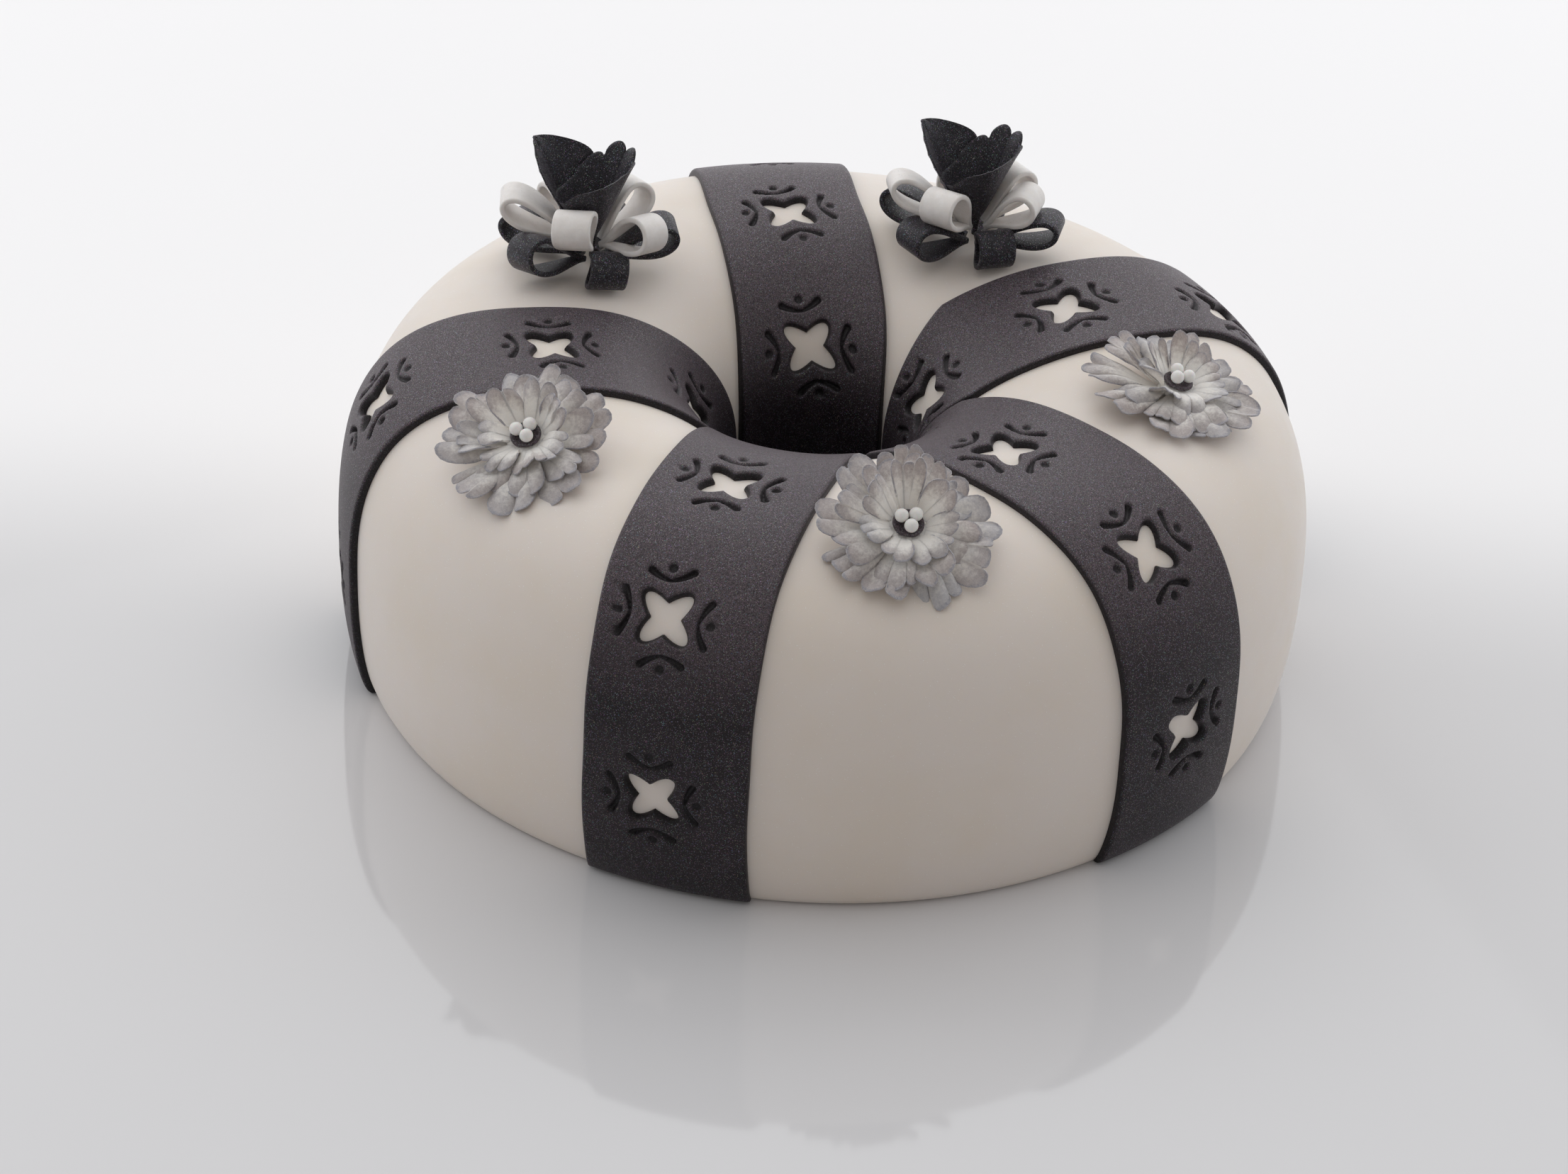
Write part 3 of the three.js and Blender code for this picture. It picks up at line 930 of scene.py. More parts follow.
@dataclass
class RingSkin:
    """The ring's cross section and the surface that it sweeps.

    Attributes:
        centre: the ring's axis, X and Y.
        outer_fullness: how square the outer shoulder is, from 2 for round.
        inner_fullness: how square the hole's lip is.
        hole_shift: how far the hole lies off the ring's middle, along X.
        rise: how much higher the ring is towards +X, as a share.
        quarter_steps: points along each of the section's three curves.
        normal_span: how far to both sides the outward direction looks.
        foot_turn: the height below which that direction turns level.
        swells: for each soft unevenness, its depth, waves round, waves over and start.
    """

    centre: Pair
    foot_radius: float = 123.8
    belly_radius: float = 130.0
    belly_height: float = 33.9
    ridge_radius: float = 79.4
    height: float = 90.7
    hole_radius: float = 27.4
    hole_lip_height: float = 48.3
    outer_fullness: float = 2.72
    inner_fullness: float = 2.26
    hole_shift: float = -5.2
    rise: float = -0.013
    quarter_steps: int = 256
    normal_span: float = 1.5
    foot_turn: float = 8.0
    swells: tuple[tuple[float, float, float, float], ...] = (
        (0.16, 3.0, 0.031, 0.7),
        (0.10, 5.0, -0.052, 2.1),
        (0.07, 11.0, 0.083, 4.0),
    )
    section: Array = field(init=False)
    reaches: Array = field(init=False)

    def __post_init__(self) -> None:
        """Works out the cross section and the reach of each of its points."""
        turn = np.linspace(0.0, math.pi / 2, self.quarter_steps + 1)
        sine, cosine = np.sin(turn), np.clip(np.cos(turn), 0.0, 1.0)
        outer, inner = 2 / self.outer_fullness, 2 / self.inner_fullness
        below = [
            self.foot_radius + (self.belly_radius - self.foot_radius) * sine,
            self.belly_height * (1 - cosine),
        ]
        above = [
            self.ridge_radius + (self.belly_radius - self.ridge_radius) * cosine**outer,
            self.belly_height + (self.height - self.belly_height) * sine**outer,
        ]
        inwards = [
            self.ridge_radius - (self.ridge_radius - self.hole_radius) * sine**inner,
            self.hole_lip_height + (self.height - self.hole_lip_height) * cosine**inner,
        ]
        parts = [np.stack(part, -1) for part in (below, above, inwards)]
        wall = np.array([[self.hole_radius, 0.0]])
        self.section = np.concatenate([parts[0], parts[1][1:], parts[2][1:], wall])
        lengths = np.linalg.norm(np.diff(self.section, axis=0), axis=1)
        self.reaches = np.concatenate([[0.0], np.cumsum(lengths)])

    @property
    def full_reach(self) -> float:
        """The way over the skin from the outer foot to the foot of the hole."""
        return float(self.reaches[-1])

    def at(self, reach: Array) -> Array:
        """The section's radius and height at a reach, along a new last axis."""
        columns = [np.interp(reach, self.reaches, self.section[:, k]) for k in (0, 1)]
        return np.stack(columns, -1)

    def normal(self, reach: Array) -> Array:
        """The section's outward direction at a reach, turned level just above the table.

        Args:
            reach: where to take it.

        Returns:
            Its parts along the radius and upwards, along a new last axis.
        """
        along = self.at(reach + self.normal_span) - self.at(reach - self.normal_span)
        out = np.stack([along[..., 1], -along[..., 0]], -1)
        out /= np.linalg.norm(out, axis=-1, keepdims=True)
        level = 1 - smooth(self.at(reach)[..., 1], 0, self.foot_turn)
        level = np.where(reach < self.belly_height, level, 0)
        out = lerp(out, np.array([1.0, 0.0]), level[..., None])
        return out / np.linalg.norm(out, axis=-1, keepdims=True)

    def swell(self, reach: Array, bearing: Array) -> Array:
        """How far the soft unevenness dips the skin, never above its true place.

        Args:
            reach: the way over the skin.
            bearing: degrees round the ring.

        Returns:
            The height off the true skin, never above 0.
        """
        turn = np.radians(bearing)
        total = np.zeros(np.broadcast(reach, bearing).shape)
        for depth, around, over, start in self.swells:
            total += depth * (np.sin(around * turn + over * reach + start) - 1) / 2
        return total

    def point(self, reach: Array | float, bearing: Array | float, lift: Array | float = 0.0,
              uneven: bool = True) -> Array:
        """Points on the skin, or lifted off it.

        Args:
            reach: the way over the skin.
            bearing: degrees round the ring.
            lift: how far off the skin.
            uneven: whether the soft unevenness counts.

        Returns:
            The points, along a new last axis.
        """
        reach, bearing, lift = np.broadcast_arrays(reach, bearing, lift)
        base, normal = self.at(reach), self.normal(np.asarray(reach, float))
        east, north = np.sin(np.radians(bearing)), -np.cos(np.radians(bearing))
        span = self.belly_radius - self.hole_radius
        inward = 1 - np.clip((base[..., 0] - self.hole_radius) / span, 0, 1)
        off = lift + (self.swell(reach, bearing) if uneven else 0.0)
        radius = base[..., 0] + off * normal[..., 0] + inward * self.hole_shift * east
        height = (base[..., 1] + off * normal[..., 1]) * (1 + self.rise * east)
        x, y = self.centre[0] + radius * east, self.centre[1] + radius * north
        return np.stack([x, y, np.maximum(height, 0)], -1)

    def radius(self, reach: Array, bearing: Array) -> Array:
        """How far the skin lies from the ring's axis."""
        points = self.point(reach, bearing)
        return np.hypot(points[..., 0] - self.centre[0], points[..., 1] - self.centre[1])

    def stand(self, reach: float, bearing: float) -> tuple[Array, Array]:
        """A frame that stands on the skin.

        Args:
            reach: where it stands over the skin.
            bearing: where it stands round the ring.

        Returns:
            Its matrix, with X along growing bearing, Y along growing reach and Z outwards, and
            its place.
        """
        out = self.normal(np.array(reach))
        north, east = heading(bearing)
        z = np.array([out[0] * east, -out[0] * north, out[1]])
        x = np.array([north, east, 0.0])
        return np.stack([x, np.cross(z, x), z], -1), self.point(reach, bearing, uneven=False)


@dataclass
class CakeRing:
    """The ring of cake in its ivory cover."""

    skin: RingSkin
    rows: int = 132
    sides: int = 320
    underside_rows: int = 6

    def build(self) -> None:
        """Makes the ring and lets it stand for its node."""
        bearings = np.arange(self.sides) / self.sides * 360.0
        reaches = np.linspace(0.0, self.skin.full_reach, self.rows)
        top = self.skin.point(reaches[:, None], bearings[None, :])
        share = (np.arange(1, self.underside_rows) / self.underside_rows)[:, None, None]
        under = lerp(top[-1][None], top[0][None], share)
        under[..., 2] = 0.0
        grid = np.concatenate([top, under])
        clay = Clay()
        clay.add(grid.reshape(-1, 3), grid_faces(len(grid), self.sides, True, True))
        clay.cast("cake_ring_ivory", IVORY, ["cake_ring"])


# ---- the bands


@dataclass(frozen=True)
class Motif:
    """A punched star with a pressed chevron and a dot on each of its four sides.

    Attributes:
        tip_radius: from the star's middle to a ray's tip.
        ray_half: half the width of a ray at its root.
        ray_power: how blunt a ray's tip is.
        least_slope: keeps the distance finite at the star's middle.
        rim: how wide the soft edge round the star is.
        rim_drop: how far that edge drops, and rim_power, how steeply.
        bulge: how far the paste swells behind the edge, how far off and over what width.
        apex: how far a chevron's point lies from the middle, across the band and along it.
        spread: how far a chevron's arm runs sideways.
        sweep: how far it runs outwards.
        arch: how far it bows.
        groove: the half width of a chevron's groove at its point and at its ends.
        groove_depth: how deep the groove is there.
        groove_powers: how late the groove widens and deepens.
        groove_edge: how far inside and outside its line the groove's wall runs.
        dot: how far a dot lies from the middle, across the band and along it.
        stray: how far a side's pattern may lie off its place.
        twist: how many degrees it may be turned.
        press: how firmly a side is pressed, and how much that may differ.
    """

    rays: tuple[int, ...] = (45, 135, 225, 315)
    tip_radius: float = 8.3
    ray_half: float = 2.8
    ray_power: float = 2.1
    least_slope: float = 0.05
    rim: float = 1.15
    rim_drop: float = 1.6
    rim_power: float = 2.3
    bulge: Triple = (0.12, 2.1, 0.9)
    apex: Pair = (8.9, 9.2)
    spread: float = 5.3
    sweep: float = 2.4
    arch: float = 0.35
    groove: Pair = (0.42, 0.92)
    groove_depth: Pair = (1.05, 1.65)
    groove_powers: Pair = (0.8, 0.6)
    groove_edge: Pair = (-0.5, 0.38)
    dot: Pair = (12.1, 12.5)
    dot_radius: float = 1.2
    dot_depth: float = 0.95
    dot_edge: Pair = (-0.42, 0.3)
    stray: float = 0.35
    twist: float = 5.0
    press: Pair = (0.88, 0.2)

    def star(self, x: Array, y: Array) -> Array:
        """The distance to the star's outline.

        Args:
            x: places across the band, from the star's middle.
            y: places along the band.

        Returns:
            The distances, negative inside the star.
        """
        nearest = np.full(np.shape(x), np.inf)
        for ray in self.rays:
            cosine, sine = heading(ray)
            along, aside = x * cosine + y * sine, y * cosine - x * sine
            ahead = along > 0
            length = np.where(ahead, self.tip_radius, self.ray_half)
            power = np.where(ahead, self.ray_power, 2.0)
            share = np.abs(along) / length
            value = (aside / self.ray_half) ** 2 + share**power - 1
            slope = np.hypot(2 * aside / self.ray_half**2, power * share ** (power - 1) / length)
            nearest = np.minimum(nearest, value / np.maximum(slope, self.least_slope))
        return nearest

    def edged(self, depth: Array, star: Array) -> Array:
        """Adds the star's soft edge and the swelling behind it to the pressed pattern.

        Args:
            depth: how deep the pattern is pressed.
            star: the distance to the star's outline.

        Returns:
            The new depth.
        """
        swelling, at, width = self.bulge
        depth = depth + self.rim_drop * np.clip(1 - star / self.rim, 0, 1) ** self.rim_power
        return depth - swelling * np.exp(-(((star - at) / width) ** 2))

    def pressed(self, x: Array, y: Array, draws: Array) -> Array:
        """How deep the chevrons and dots are pressed.

        Args:
            x: places across the band, from the star's middle.
            y: places along the band.
            draws: for each side, four numbers from -1 to 1 for its shifts, its turn and its depth.

        Returns:
            The depth at each place.
        """
        depth = np.zeros(np.shape(x))
        for side, (out_shift, side_shift, turn, strength) in enumerate(draws):
            cosine, sine = heading(90 * side + self.twist * turn)
            out = x * cosine + y * sine - self.stray * out_shift
            aside = np.abs(y * cosine - x * sine - self.stray * side_shift)
            apex, dot = self.apex[side % 2], self.dot[side % 2]
            share = (out - apex) * self.sweep + aside * self.spread
            share = np.clip(share / (self.sweep**2 + self.spread**2), 0, 1)
            bow = self.arch * np.sin(math.pi * share)
            away = np.hypot(out - apex - share * self.sweep + bow, aside - share * self.spread)
            groove = away - lerp(*self.groove, share ** self.groove_powers[0])
            firm = self.press[0] + self.press[1] * strength
            floor = lerp(*self.groove_depth, share ** self.groove_powers[1])
            wall = 1 - smooth(groove, *self.groove_edge)
            depth = np.maximum(depth, firm * floor * wall)
            spot = np.hypot(out - dot, aside) - self.dot_radius
            wall = 1 - smooth(spot, *self.dot_edge)
            depth = np.maximum(depth, firm * self.dot_depth * wall)
        return depth


@dataclass
class Band:
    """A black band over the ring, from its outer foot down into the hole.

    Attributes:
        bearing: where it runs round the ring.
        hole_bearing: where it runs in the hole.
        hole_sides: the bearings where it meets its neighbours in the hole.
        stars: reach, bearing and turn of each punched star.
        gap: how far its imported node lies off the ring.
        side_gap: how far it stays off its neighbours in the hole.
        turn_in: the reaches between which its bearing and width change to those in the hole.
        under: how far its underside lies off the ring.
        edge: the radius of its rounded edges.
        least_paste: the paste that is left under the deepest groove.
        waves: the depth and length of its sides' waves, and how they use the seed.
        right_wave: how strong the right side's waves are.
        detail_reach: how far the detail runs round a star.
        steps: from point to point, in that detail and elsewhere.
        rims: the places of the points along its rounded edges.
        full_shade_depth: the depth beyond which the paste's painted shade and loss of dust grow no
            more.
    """

    skin: RingSkin
    name: str
    bearing: float
    hole_bearing: float
    hole_sides: Pair
    stars: tuple[Triple, ...]
    seed: int
    hole_width: float = 43.4
    width: float = 43.4
    thickness: float = 1.8
    gap: float = 0.3
    side_gap: float = 0.15
    foot_reach: float = 1.6
    hole_end_reach: float = 1.6
    turn_in: Pair = (120.0, 200.0)
    under: float = 0.04
    edge: float = 1.15
    least_paste: float = 0.05
    waves: tuple[tuple[float, float, int], ...] = ((0.22, 13.0, 1), (0.12, 5.1, 2))
    right_wave: float = 0.7
    motif: Motif = Motif()
    detail_reach: float = 14.6
    steps: Pair = (0.42, 1.7)
    rims: tuple[float, ...] = (0.0, 0.1, 0.26, 0.5, 0.82, 1.2)
    full_shade_depth: float = 1.0

    @property
    def end_reach(self) -> float:
        """The reach of its end in the hole."""
        return self.skin.full_reach - self.hole_end_reach

    def sides(self, reach: Array) -> tuple[Array, Array]:
        """The band's two edges.

        Args:
            reach: the way over the skin.

        Returns:
            The bearings of its left and its right edge there.
        """
        into = smooth(reach, *self.turn_in)
        width = lerp(self.width, self.hole_width, into)
        middle = lerp(self.bearing, self.hole_bearing, into)
        radius = self.skin.radius(reach, middle)
        wave = sum(
            depth * np.sin(reach / length + times * self.seed)
            for depth, length, times in self.waves
        )
        half, room = np.degrees(width / 2 / radius), np.degrees(self.side_gap / radius)
        left = np.maximum(middle - half, self.hole_sides[0] + room)
        right = np.minimum(middle + half, self.hole_sides[1] - room)
        return left + np.degrees(wave / radius), right + np.degrees(wave * self.right_wave / radius)

    def bearings(self, reach: Array, across: Array) -> Array:
        """The bearing at a share of the way across the band."""
        left, right = self.sides(reach)
        return lerp(left, right, across)

    def relief(self, reach: Array, across: Array) -> tuple[Array, Array]:
        """The band's holes and its pressed pattern.

        Args:
            reach: places over the skin.
            across: shares of the way across the band.

        Returns:
            The distance to the nearest star's outline, negative in the hole, and how far the
            top lies below the band's full thickness.
        """
        bearing = self.bearings(reach, across)
        radius = self.skin.radius(reach, bearing)
        stream = NumberStream(self.seed)
        star = np.full(np.shape(reach), np.inf)
        depth = np.zeros(np.shape(reach))
        for at, middle, turn in self.stars:
            draws = stream.draw(16, -1, 1).reshape(4, 4)
            x, y = np.radians(bearing - middle) * radius, reach - at
            cosine, sine = heading(turn)
            x, y = x * cosine + y * sine, y * cosine - x * sine
            star = np.minimum(star, self.motif.star(x, y))
            depth = np.maximum(depth, self.motif.pressed(x, y, draws))
        depth = self.motif.edged(depth, star)
        ends = np.minimum(reach - self.foot_reach, self.end_reach - reach)
        inset = np.minimum(np.minimum(across, 1 - across) * self.width, ends)
        side = np.clip(1 - inset / self.edge, 0, 1)
        depth = np.maximum(depth, self.edge * (1 - np.sqrt(1 - side**2)))
        return star, np.minimum(depth, self.thickness - self.least_paste)

    def cut(self, rows: Array, columns: Array, star: Array) -> tuple[Array, list, list]:
        """Splits a grid along the stars' outlines and drops what lies inside them.

        Args:
            rows: the reach of each row.
            columns: the share across of each column.
            star: the distance to the outline at each point.

        Returns:
            The reach and share of every point, the faces, and the outlines' edges.
        """
        width = len(columns)
        grid = np.stack(np.meshgrid(rows, columns, indexing="ij"), -1).reshape(-1, 2)
        value = star.ravel()
        quads = np.array(grid_faces(len(rows), width))
        solid = value[quads] > 0
        faces = [tuple(face) for face in quads[solid.all(1)].tolist()]
        extra: list[Array] = []
        crossings: dict[tuple[int, int], int] = {}

        def crossing(a: int, b: int) -> int:
            """Where the outline crosses an edge, made once and then shared.

            Args:
                a: the number of the edge's first point.
                b: the number of its second point.

            Returns:
                The number of the point on the outline.
            """
            key = (min(a, b), max(a, b))
            if key not in crossings:
                share = value[a] / (value[a] - value[b])
                crossings[key] = len(grid) + len(extra)
                extra.append(grid[a] + (grid[b] - grid[a]) * share)
            return crossings[key]

        outline = []
        for quad in quads[solid.any(1) & ~solid.all(1)].tolist():
            face, leaving, entering = [], [], []
            for a, b in zip(quad, quad[1:] + quad[:1]):
                if value[a] > 0:
                    face.append(a)
                if (value[a] > 0) != (value[b] > 0):
                    face.append(crossing(a, b))
                    (leaving if value[a] > 0 else entering).append(face[-1])
            faces.append(tuple(face))
            outline.extend(zip(leaving, entering))
        places = np.concatenate([grid, np.array(extra)]) if extra else grid
        return places, faces, outline

    def border(self, rows: int, columns: int) -> list[tuple[int, int]]:
        """The outer edges of a grid of points.

        Args:
            rows: how many rows it has.
            columns: how many points a row has.

        Returns:
            Each edge as two point numbers.
        """
        last = (rows - 1) * columns
        edges = [(j + 1, j) for j in range(columns - 1)]
        edges += [(last + j, last + j + 1) for j in range(columns - 1)]
        edges += [(i * columns, (i + 1) * columns) for i in range(rows - 1)]
        return edges + [((i + 2) * columns - 1, (i + 1) * columns - 1) for i in range(rows - 1)]

    def build(self) -> None:
        """Makes the band and lets it stand for its node."""
        spans = [(at - self.detail_reach, at + self.detail_reach) for at, _, _ in self.stars]
        rows = graded(self.foot_reach, self.end_reach, spans, self.steps, self.rims)
        half = self.width / 2
        middle = [(half - self.detail_reach, half + self.detail_reach)]
        columns = graded(0.0, self.width, middle, self.steps, self.rims) / self.width
        star, _ = self.relief(*np.meshgrid(rows, columns, indexing="ij"))
        places, faces, outline = self.cut(rows, columns, star)
        used = np.zeros(len(places), bool)
        used[np.concatenate([np.array(face) for face in faces])] = True
        number = np.cumsum(used) - 1
        faces = [tuple(number[list(face)]) for face in faces]
        reach, across = places[used].T
        _, depth = self.relief(reach, across)
        bearing = self.bearings(reach, across)
        top = self.skin.point(reach, bearing, self.gap + self.thickness - depth)
        bottom = self.skin.point(reach, bearing, self.under)
        behind = len(top)
        rims = [(number[a], number[b]) for a, b in self.border(len(rows), len(columns))]
        rims += [(number[b], number[a]) for a, b in outline]
        walls = [(a, b, b + behind, a + behind) for a, b in rims]
        under = [tuple(k + behind for k in reversed(face)) for face in faces]
        # The pressed mark drives the paste's painted shade; the underside is marked as fully
        # pressed.
        pressed = np.concatenate([np.minimum(depth, self.full_shade_depth), np.ones(behind)])
        clay = Clay()
        clay.add(np.concatenate([top, bottom]), faces + under + walls, pressed=pressed)
        clay.cast(f"{self.name}_black", BAND_BLACK, [self.name])


# ---- the flowers


@dataclass(frozen=True)
class PetalLayer:
    """One layer of a flower's petals.

    Attributes:
        part: its place in the flower.
        petals: how many petals it has.
        radius: how far its petals reach.
        base: the height of its middle.
        flat: the radius of its level middle.
        rise: how far its rim stands up.
        curve: how late the petals rise.
        lobes: the fewest and most lobes of a petal.
        slit: the least and greatest depth of the slits between its lobes.
        width: the half width of a petal's rim, as a share of its place.
        curl: how far its rim may bend down or up.
        stand: how much lower the petals on the flower's low side lie.
    """

    part: str
    petals: int
    radius: float
    base: float
    flat: float
    rise: float
    curve: float
    lobes: tuple[int, int]
    slit: Pair
    width: Pair
    curl: Pair
    stand: float


LAYERS = (
    PetalLayer("outer", 9, 22.8, 0.0, 3.0, 5.0, 1.4,
               lobes=(2, 3), slit=(0.5, 1.6), width=(0.96, 1.16), curl=(-3.0, 0.8), stand=2.0),
    PetalLayer("middle", 8, 18.2, 1.3, 4.0, 6.8, 1.3,
               lobes=(2, 3), slit=(0.5, 1.9), width=(0.94, 1.16), curl=(-3.0, 1.2), stand=4.4),
    PetalLayer("inner", 7, 12.6, 2.9, 4.4, 8.8, 1.05,
               lobes=(2, 3), slit=(0.6, 1.8), width=(1.0, 1.2), curl=(-1.8, 1.0), stand=7.2),
)


@dataclass(frozen=True)
class PetalForm:
    """What all petals share. A petal runs from -1 to 1 across and from 0 to 1 along.

    A field that ends in span gives the places along a petal between which a form grows.

    Attributes:
        crowding: how much closer they lie towards its rim.
        beside: how close to a slit the points beside it lie.
        slit_stray: how far a slit may lie off its even place.
        slit_half: how fast a slit closes to its sides.
        reaches: the shortest and longest lobe, as a share of the petal.
        rounds: how round a lobe's end is, as a share of its half width.
        corner: how far the petal's corners draw back, from where across it, and how late.
        foot: where a petal starts, as a share of the layer's level middle.
        foot_width: its half width there, as a share of its place.
        turn_stray: how many degrees it may lie off its even bearing.
        stand_power: how late the flower's tall side gains height.
        bend: how late the rim bends, how much less its sides do, and how much more the tall
            side bends up.
        lifts: the lowest and highest lift of a lobe.
        late: how late lobes lift and petals sag.
        sags: how far a petal may lie lower or higher.
        cups: how far a lobe's middle swells.
        rolls: how far a petal's sides may bend down or up.
        roll_level: where across it that bend is nil.
        overlap: how much higher one side lies, over the next petal.
        ripple: the height and closeness of the soft waves.
        frill: the height and closeness of the fine waves, and how they run on along the petal.
        draw_in: how far a rim that bends up draws in.
        crease: the half width and height of the fold below a slit.
        vein: the half width and height of the vein in a lobe, and how strongly it marks.
        side: where across a petal the mark of its rim starts and is full.
    """

    rows: int = 19
    crowding: float = 1.35
    lobe_steps: int = 11
    beside: float = 0.02
    slit_stray: float = 0.14
    slit_half: float = 0.018
    reaches: Pair = (0.96, 1.03)
    rounds: Pair = (0.5, 0.75)
    corner: Triple = (0.26, 0.3, 2.2)
    foot: float = 0.7
    foot_width: float = 0.6
    width_span: Pair = (-0.1, 0.7)
    skew: float = 0.1
    turn_stray: float = 4.0
    stand_power: float = 1.3
    bend: Triple = (1.4, 0.25, 0.6)
    bend_span: Pair = (0.5, 1.0)
    lifts: Pair = (-1.5, 0.6)
    lift_span: Pair = (0.74, 1.0)
    late: float = 1.5
    sags: Pair = (-1.1, 1.3)
    cups: Pair = (0.1, 0.35)
    cup_span: Pair = (0.5, 0.9)
    rolls: Pair = (-2.6, 1.0)
    roll_level: float = 0.3
    roll_span: Pair = (0.15, 0.9)
    overlap: float = 1.2
    overlap_span: Pair = (0.1, 0.7)
    ripple: Pair = (0.8, 3.4)
    frill: Triple = (0.22, 11.0, 3.0)
    frill_span: Pair = (0.6, 1.0)
    swing: Pair = (0.5, 4.1)
    draw_in: float = 0.5
    draw_span: Pair = (0.6, 1.0)
    crease: Pair = (0.035, 0.12)
    crease_span: Pair = (0.12, 0.4)
    crease_rise_span: Pair = (0.5, 0.8)
    crease_end_span: Pair = (0.85, 1.0)
    vein: Triple = (0.09, 0.04, 0.6)
    vein_span: Pair = (0.3, 0.6)
    vein_end_span: Pair = (0.8, 0.95)
    rim_span: Pair = (0.88, 1.0)
    side_span: Pair = (0.35, 0.8)
    side: Pair = (0.9, 1.0)


@dataclass(frozen=True)
class PetalRim:
    """One petal's lobed rim, with a value for each point across it.

    Attributes:
        across: the point's place across the petal.
        lobe: the number of its lobe.
        in_lobe: its place in that lobe, from -1 to 1.
        gap: the way to the nearest slit.
        reach: how far out the rim lies.
        lobes: how many lobes the petal has.
        width: its half width at the rim, as a share of its place.
    """

    across: Array
    lobe: Array
    in_lobe: Array
    gap: Array
    reach: Array
    lobes: int
    width: float


@dataclass
class Flower:
    """A sugar flower of three petal layers with a black button and three pearls.

    Attributes:
        seat: how far off the skin its lowest layer's middle lies.
        lean: how far it leans down the ring, in degrees.
        aside: how far it leans round the ring, in degrees.
        tall: the bearing in the flower of its tall side.
        layer_turn: how far each layer is turned beyond the one below.
        thickness: a petal's thickness at its foot and at its rim.
        lengths: the shortest and longest petal, as a share of the layer's radius.
        droops: how far a petal's tip may hang down or stand up.
        pin: the radius at which a layer's disc ends in its middle.
        disc_rim: how far out and how high the corners of that disc lie.
        button_rim: how far in and how high the corners of the button's rim lie.
        button_dish: the height of the button's middle.
        button_wave: the height and number of the waves round the button.
        pearl_pole: the turn at which a pearl's first ring lies.
        pearl_dent: how uneven a pearl is, and its waves across and along.
        pearl_flat: how far down a pearl is round, as a share of its radius.
    """

    skin: RingSkin
    name: str
    reach: float
    bearing: float
    seat: float
    lean: float
    aside: float
    turn: float
    pearl_turn: float
    seed: int
    tall: float
    form: PetalForm = PetalForm()
    layer_turn: float = 17.0
    thickness: Pair = (0.7, 0.34)
    lengths: Pair = (0.95, 1.06)
    droops: Pair = (-1.2, 0.8)
    pin: float = 0.2
    disc_rim: tuple[Pair, ...] = ((0.8, -0.3), (0.5, 0.0))
    button_radius: float = 4.0
    button_base: float = 3.9
    button_rim: tuple[Pair, ...] = (
        (-0.4, 0.0), (0.0, 0.3), (0.0, 0.75), (-0.3, 1.0), (-0.8, 0.9), (-1.6, 0.6)
    )
    button_pin: float = 0.1
    button_dish: float = 0.5
    button_wave: tuple[float, int] = (0.12, 5)
    button_sides: int = 40
    pearls: int = 3
    pearl_radius: float = 1.75
    pearl_spacing: float = 2.1
    pearl_height: float = 6.6
    pearl_pole: float = 0.04
    pearl_dent: Triple = (0.012, 3.0, 2.4)
    pearl_flat: float = 0.94
    pearl_rows: int = 20
    sides: int = 32

    def cast(self, clay: Clay, node: str, ending: str, finish: Finish, crease: float) -> None:
        """Puts a shape from the flower's own frame onto the ring.

        Args:
            clay: the shape.
            node: what the name of its node ends in.
            ending: what its own name ends in.
            finish: what it is dressed in.
            crease: the angle in degrees beyond which an edge stays sharp.
        """
        axes, place = self.skin.stand(self.reach, self.bearing)
        lean = turned("X", self.lean) @ turned("Y", self.aside)
        clay.place(axes @ lean, place + axes @ np.array([0.0, 0.0, self.seat]))
        clay.cast(f"{self.name}_{node}_{ending}", finish, [f"{self.name}_{node}"], crease)

    def petal_rim(self, layer: PetalLayer, length: float, random: np.random.Generator) -> PetalRim:
        """Lays out one petal's lobed rim.

        Args:
            layer: the layer that the petal belongs to.
            length: how long it is, as a share of the layer's radius.
            random: the source of its small differences.

        Returns:
            The rim.
        """
        form = self.form
        lobes = int(random.integers(layer.lobes[0], layer.lobes[1] + 1))
        ends = np.linspace(-1, 1, lobes + 1)
        ends[1:-1] += random.uniform(-form.slit_stray, form.slit_stray, lobes - 1)
        steps = (1 - np.cos(np.linspace(0, math.pi, form.lobe_steps))) / 2
        inside = np.concatenate([lerp(ends[k], ends[k + 1], steps) for k in range(lobes)])
        beside = np.concatenate([ends[1:-1] - form.beside, ends[1:-1] + form.beside])
        across = np.unique(np.round(np.concatenate([inside, beside]), DECIMALS + 1))
        lobe = np.clip(np.searchsorted(ends, across, side="right") - 1, 0, lobes - 1)
        in_lobe = 2 * (across - ends[lobe]) / (ends[lobe + 1] - ends[lobe]) - 1
        ways = np.abs(across[:, None] - ends[None, 1:-1])
        gap = np.min(ways, axis=1)
        slit = random.uniform(*layer.slit, lobes - 1)[np.argmin(ways, axis=1)]
        slit = slit * np.exp(-gap / form.slit_half)
        reach = random.uniform(*form.reaches, lobes)[lobe]
        width = random.uniform(*layer.width)
        lobe_half = (ends[lobe + 1] - ends[lobe]) / 2 * width * math.pi / layer.petals
        arc = 1 - np.sqrt(1 - np.minimum(in_lobe**2, NEARLY_ONE))
        round_off = arc * lobe_half * random.uniform(*form.rounds)
        drawn, start, power = form.corner
        aside = np.clip((np.abs(across) - start) / (1 - start), 0, 1)
        corner = drawn * (1 - np.sqrt(1 - NEARLY_ONE * aside**power))
        reach = layer.radius * length * (reach - round_off - corner) - slit
        return PetalRim(across, lobe, in_lobe, gap, reach, lobes, width)

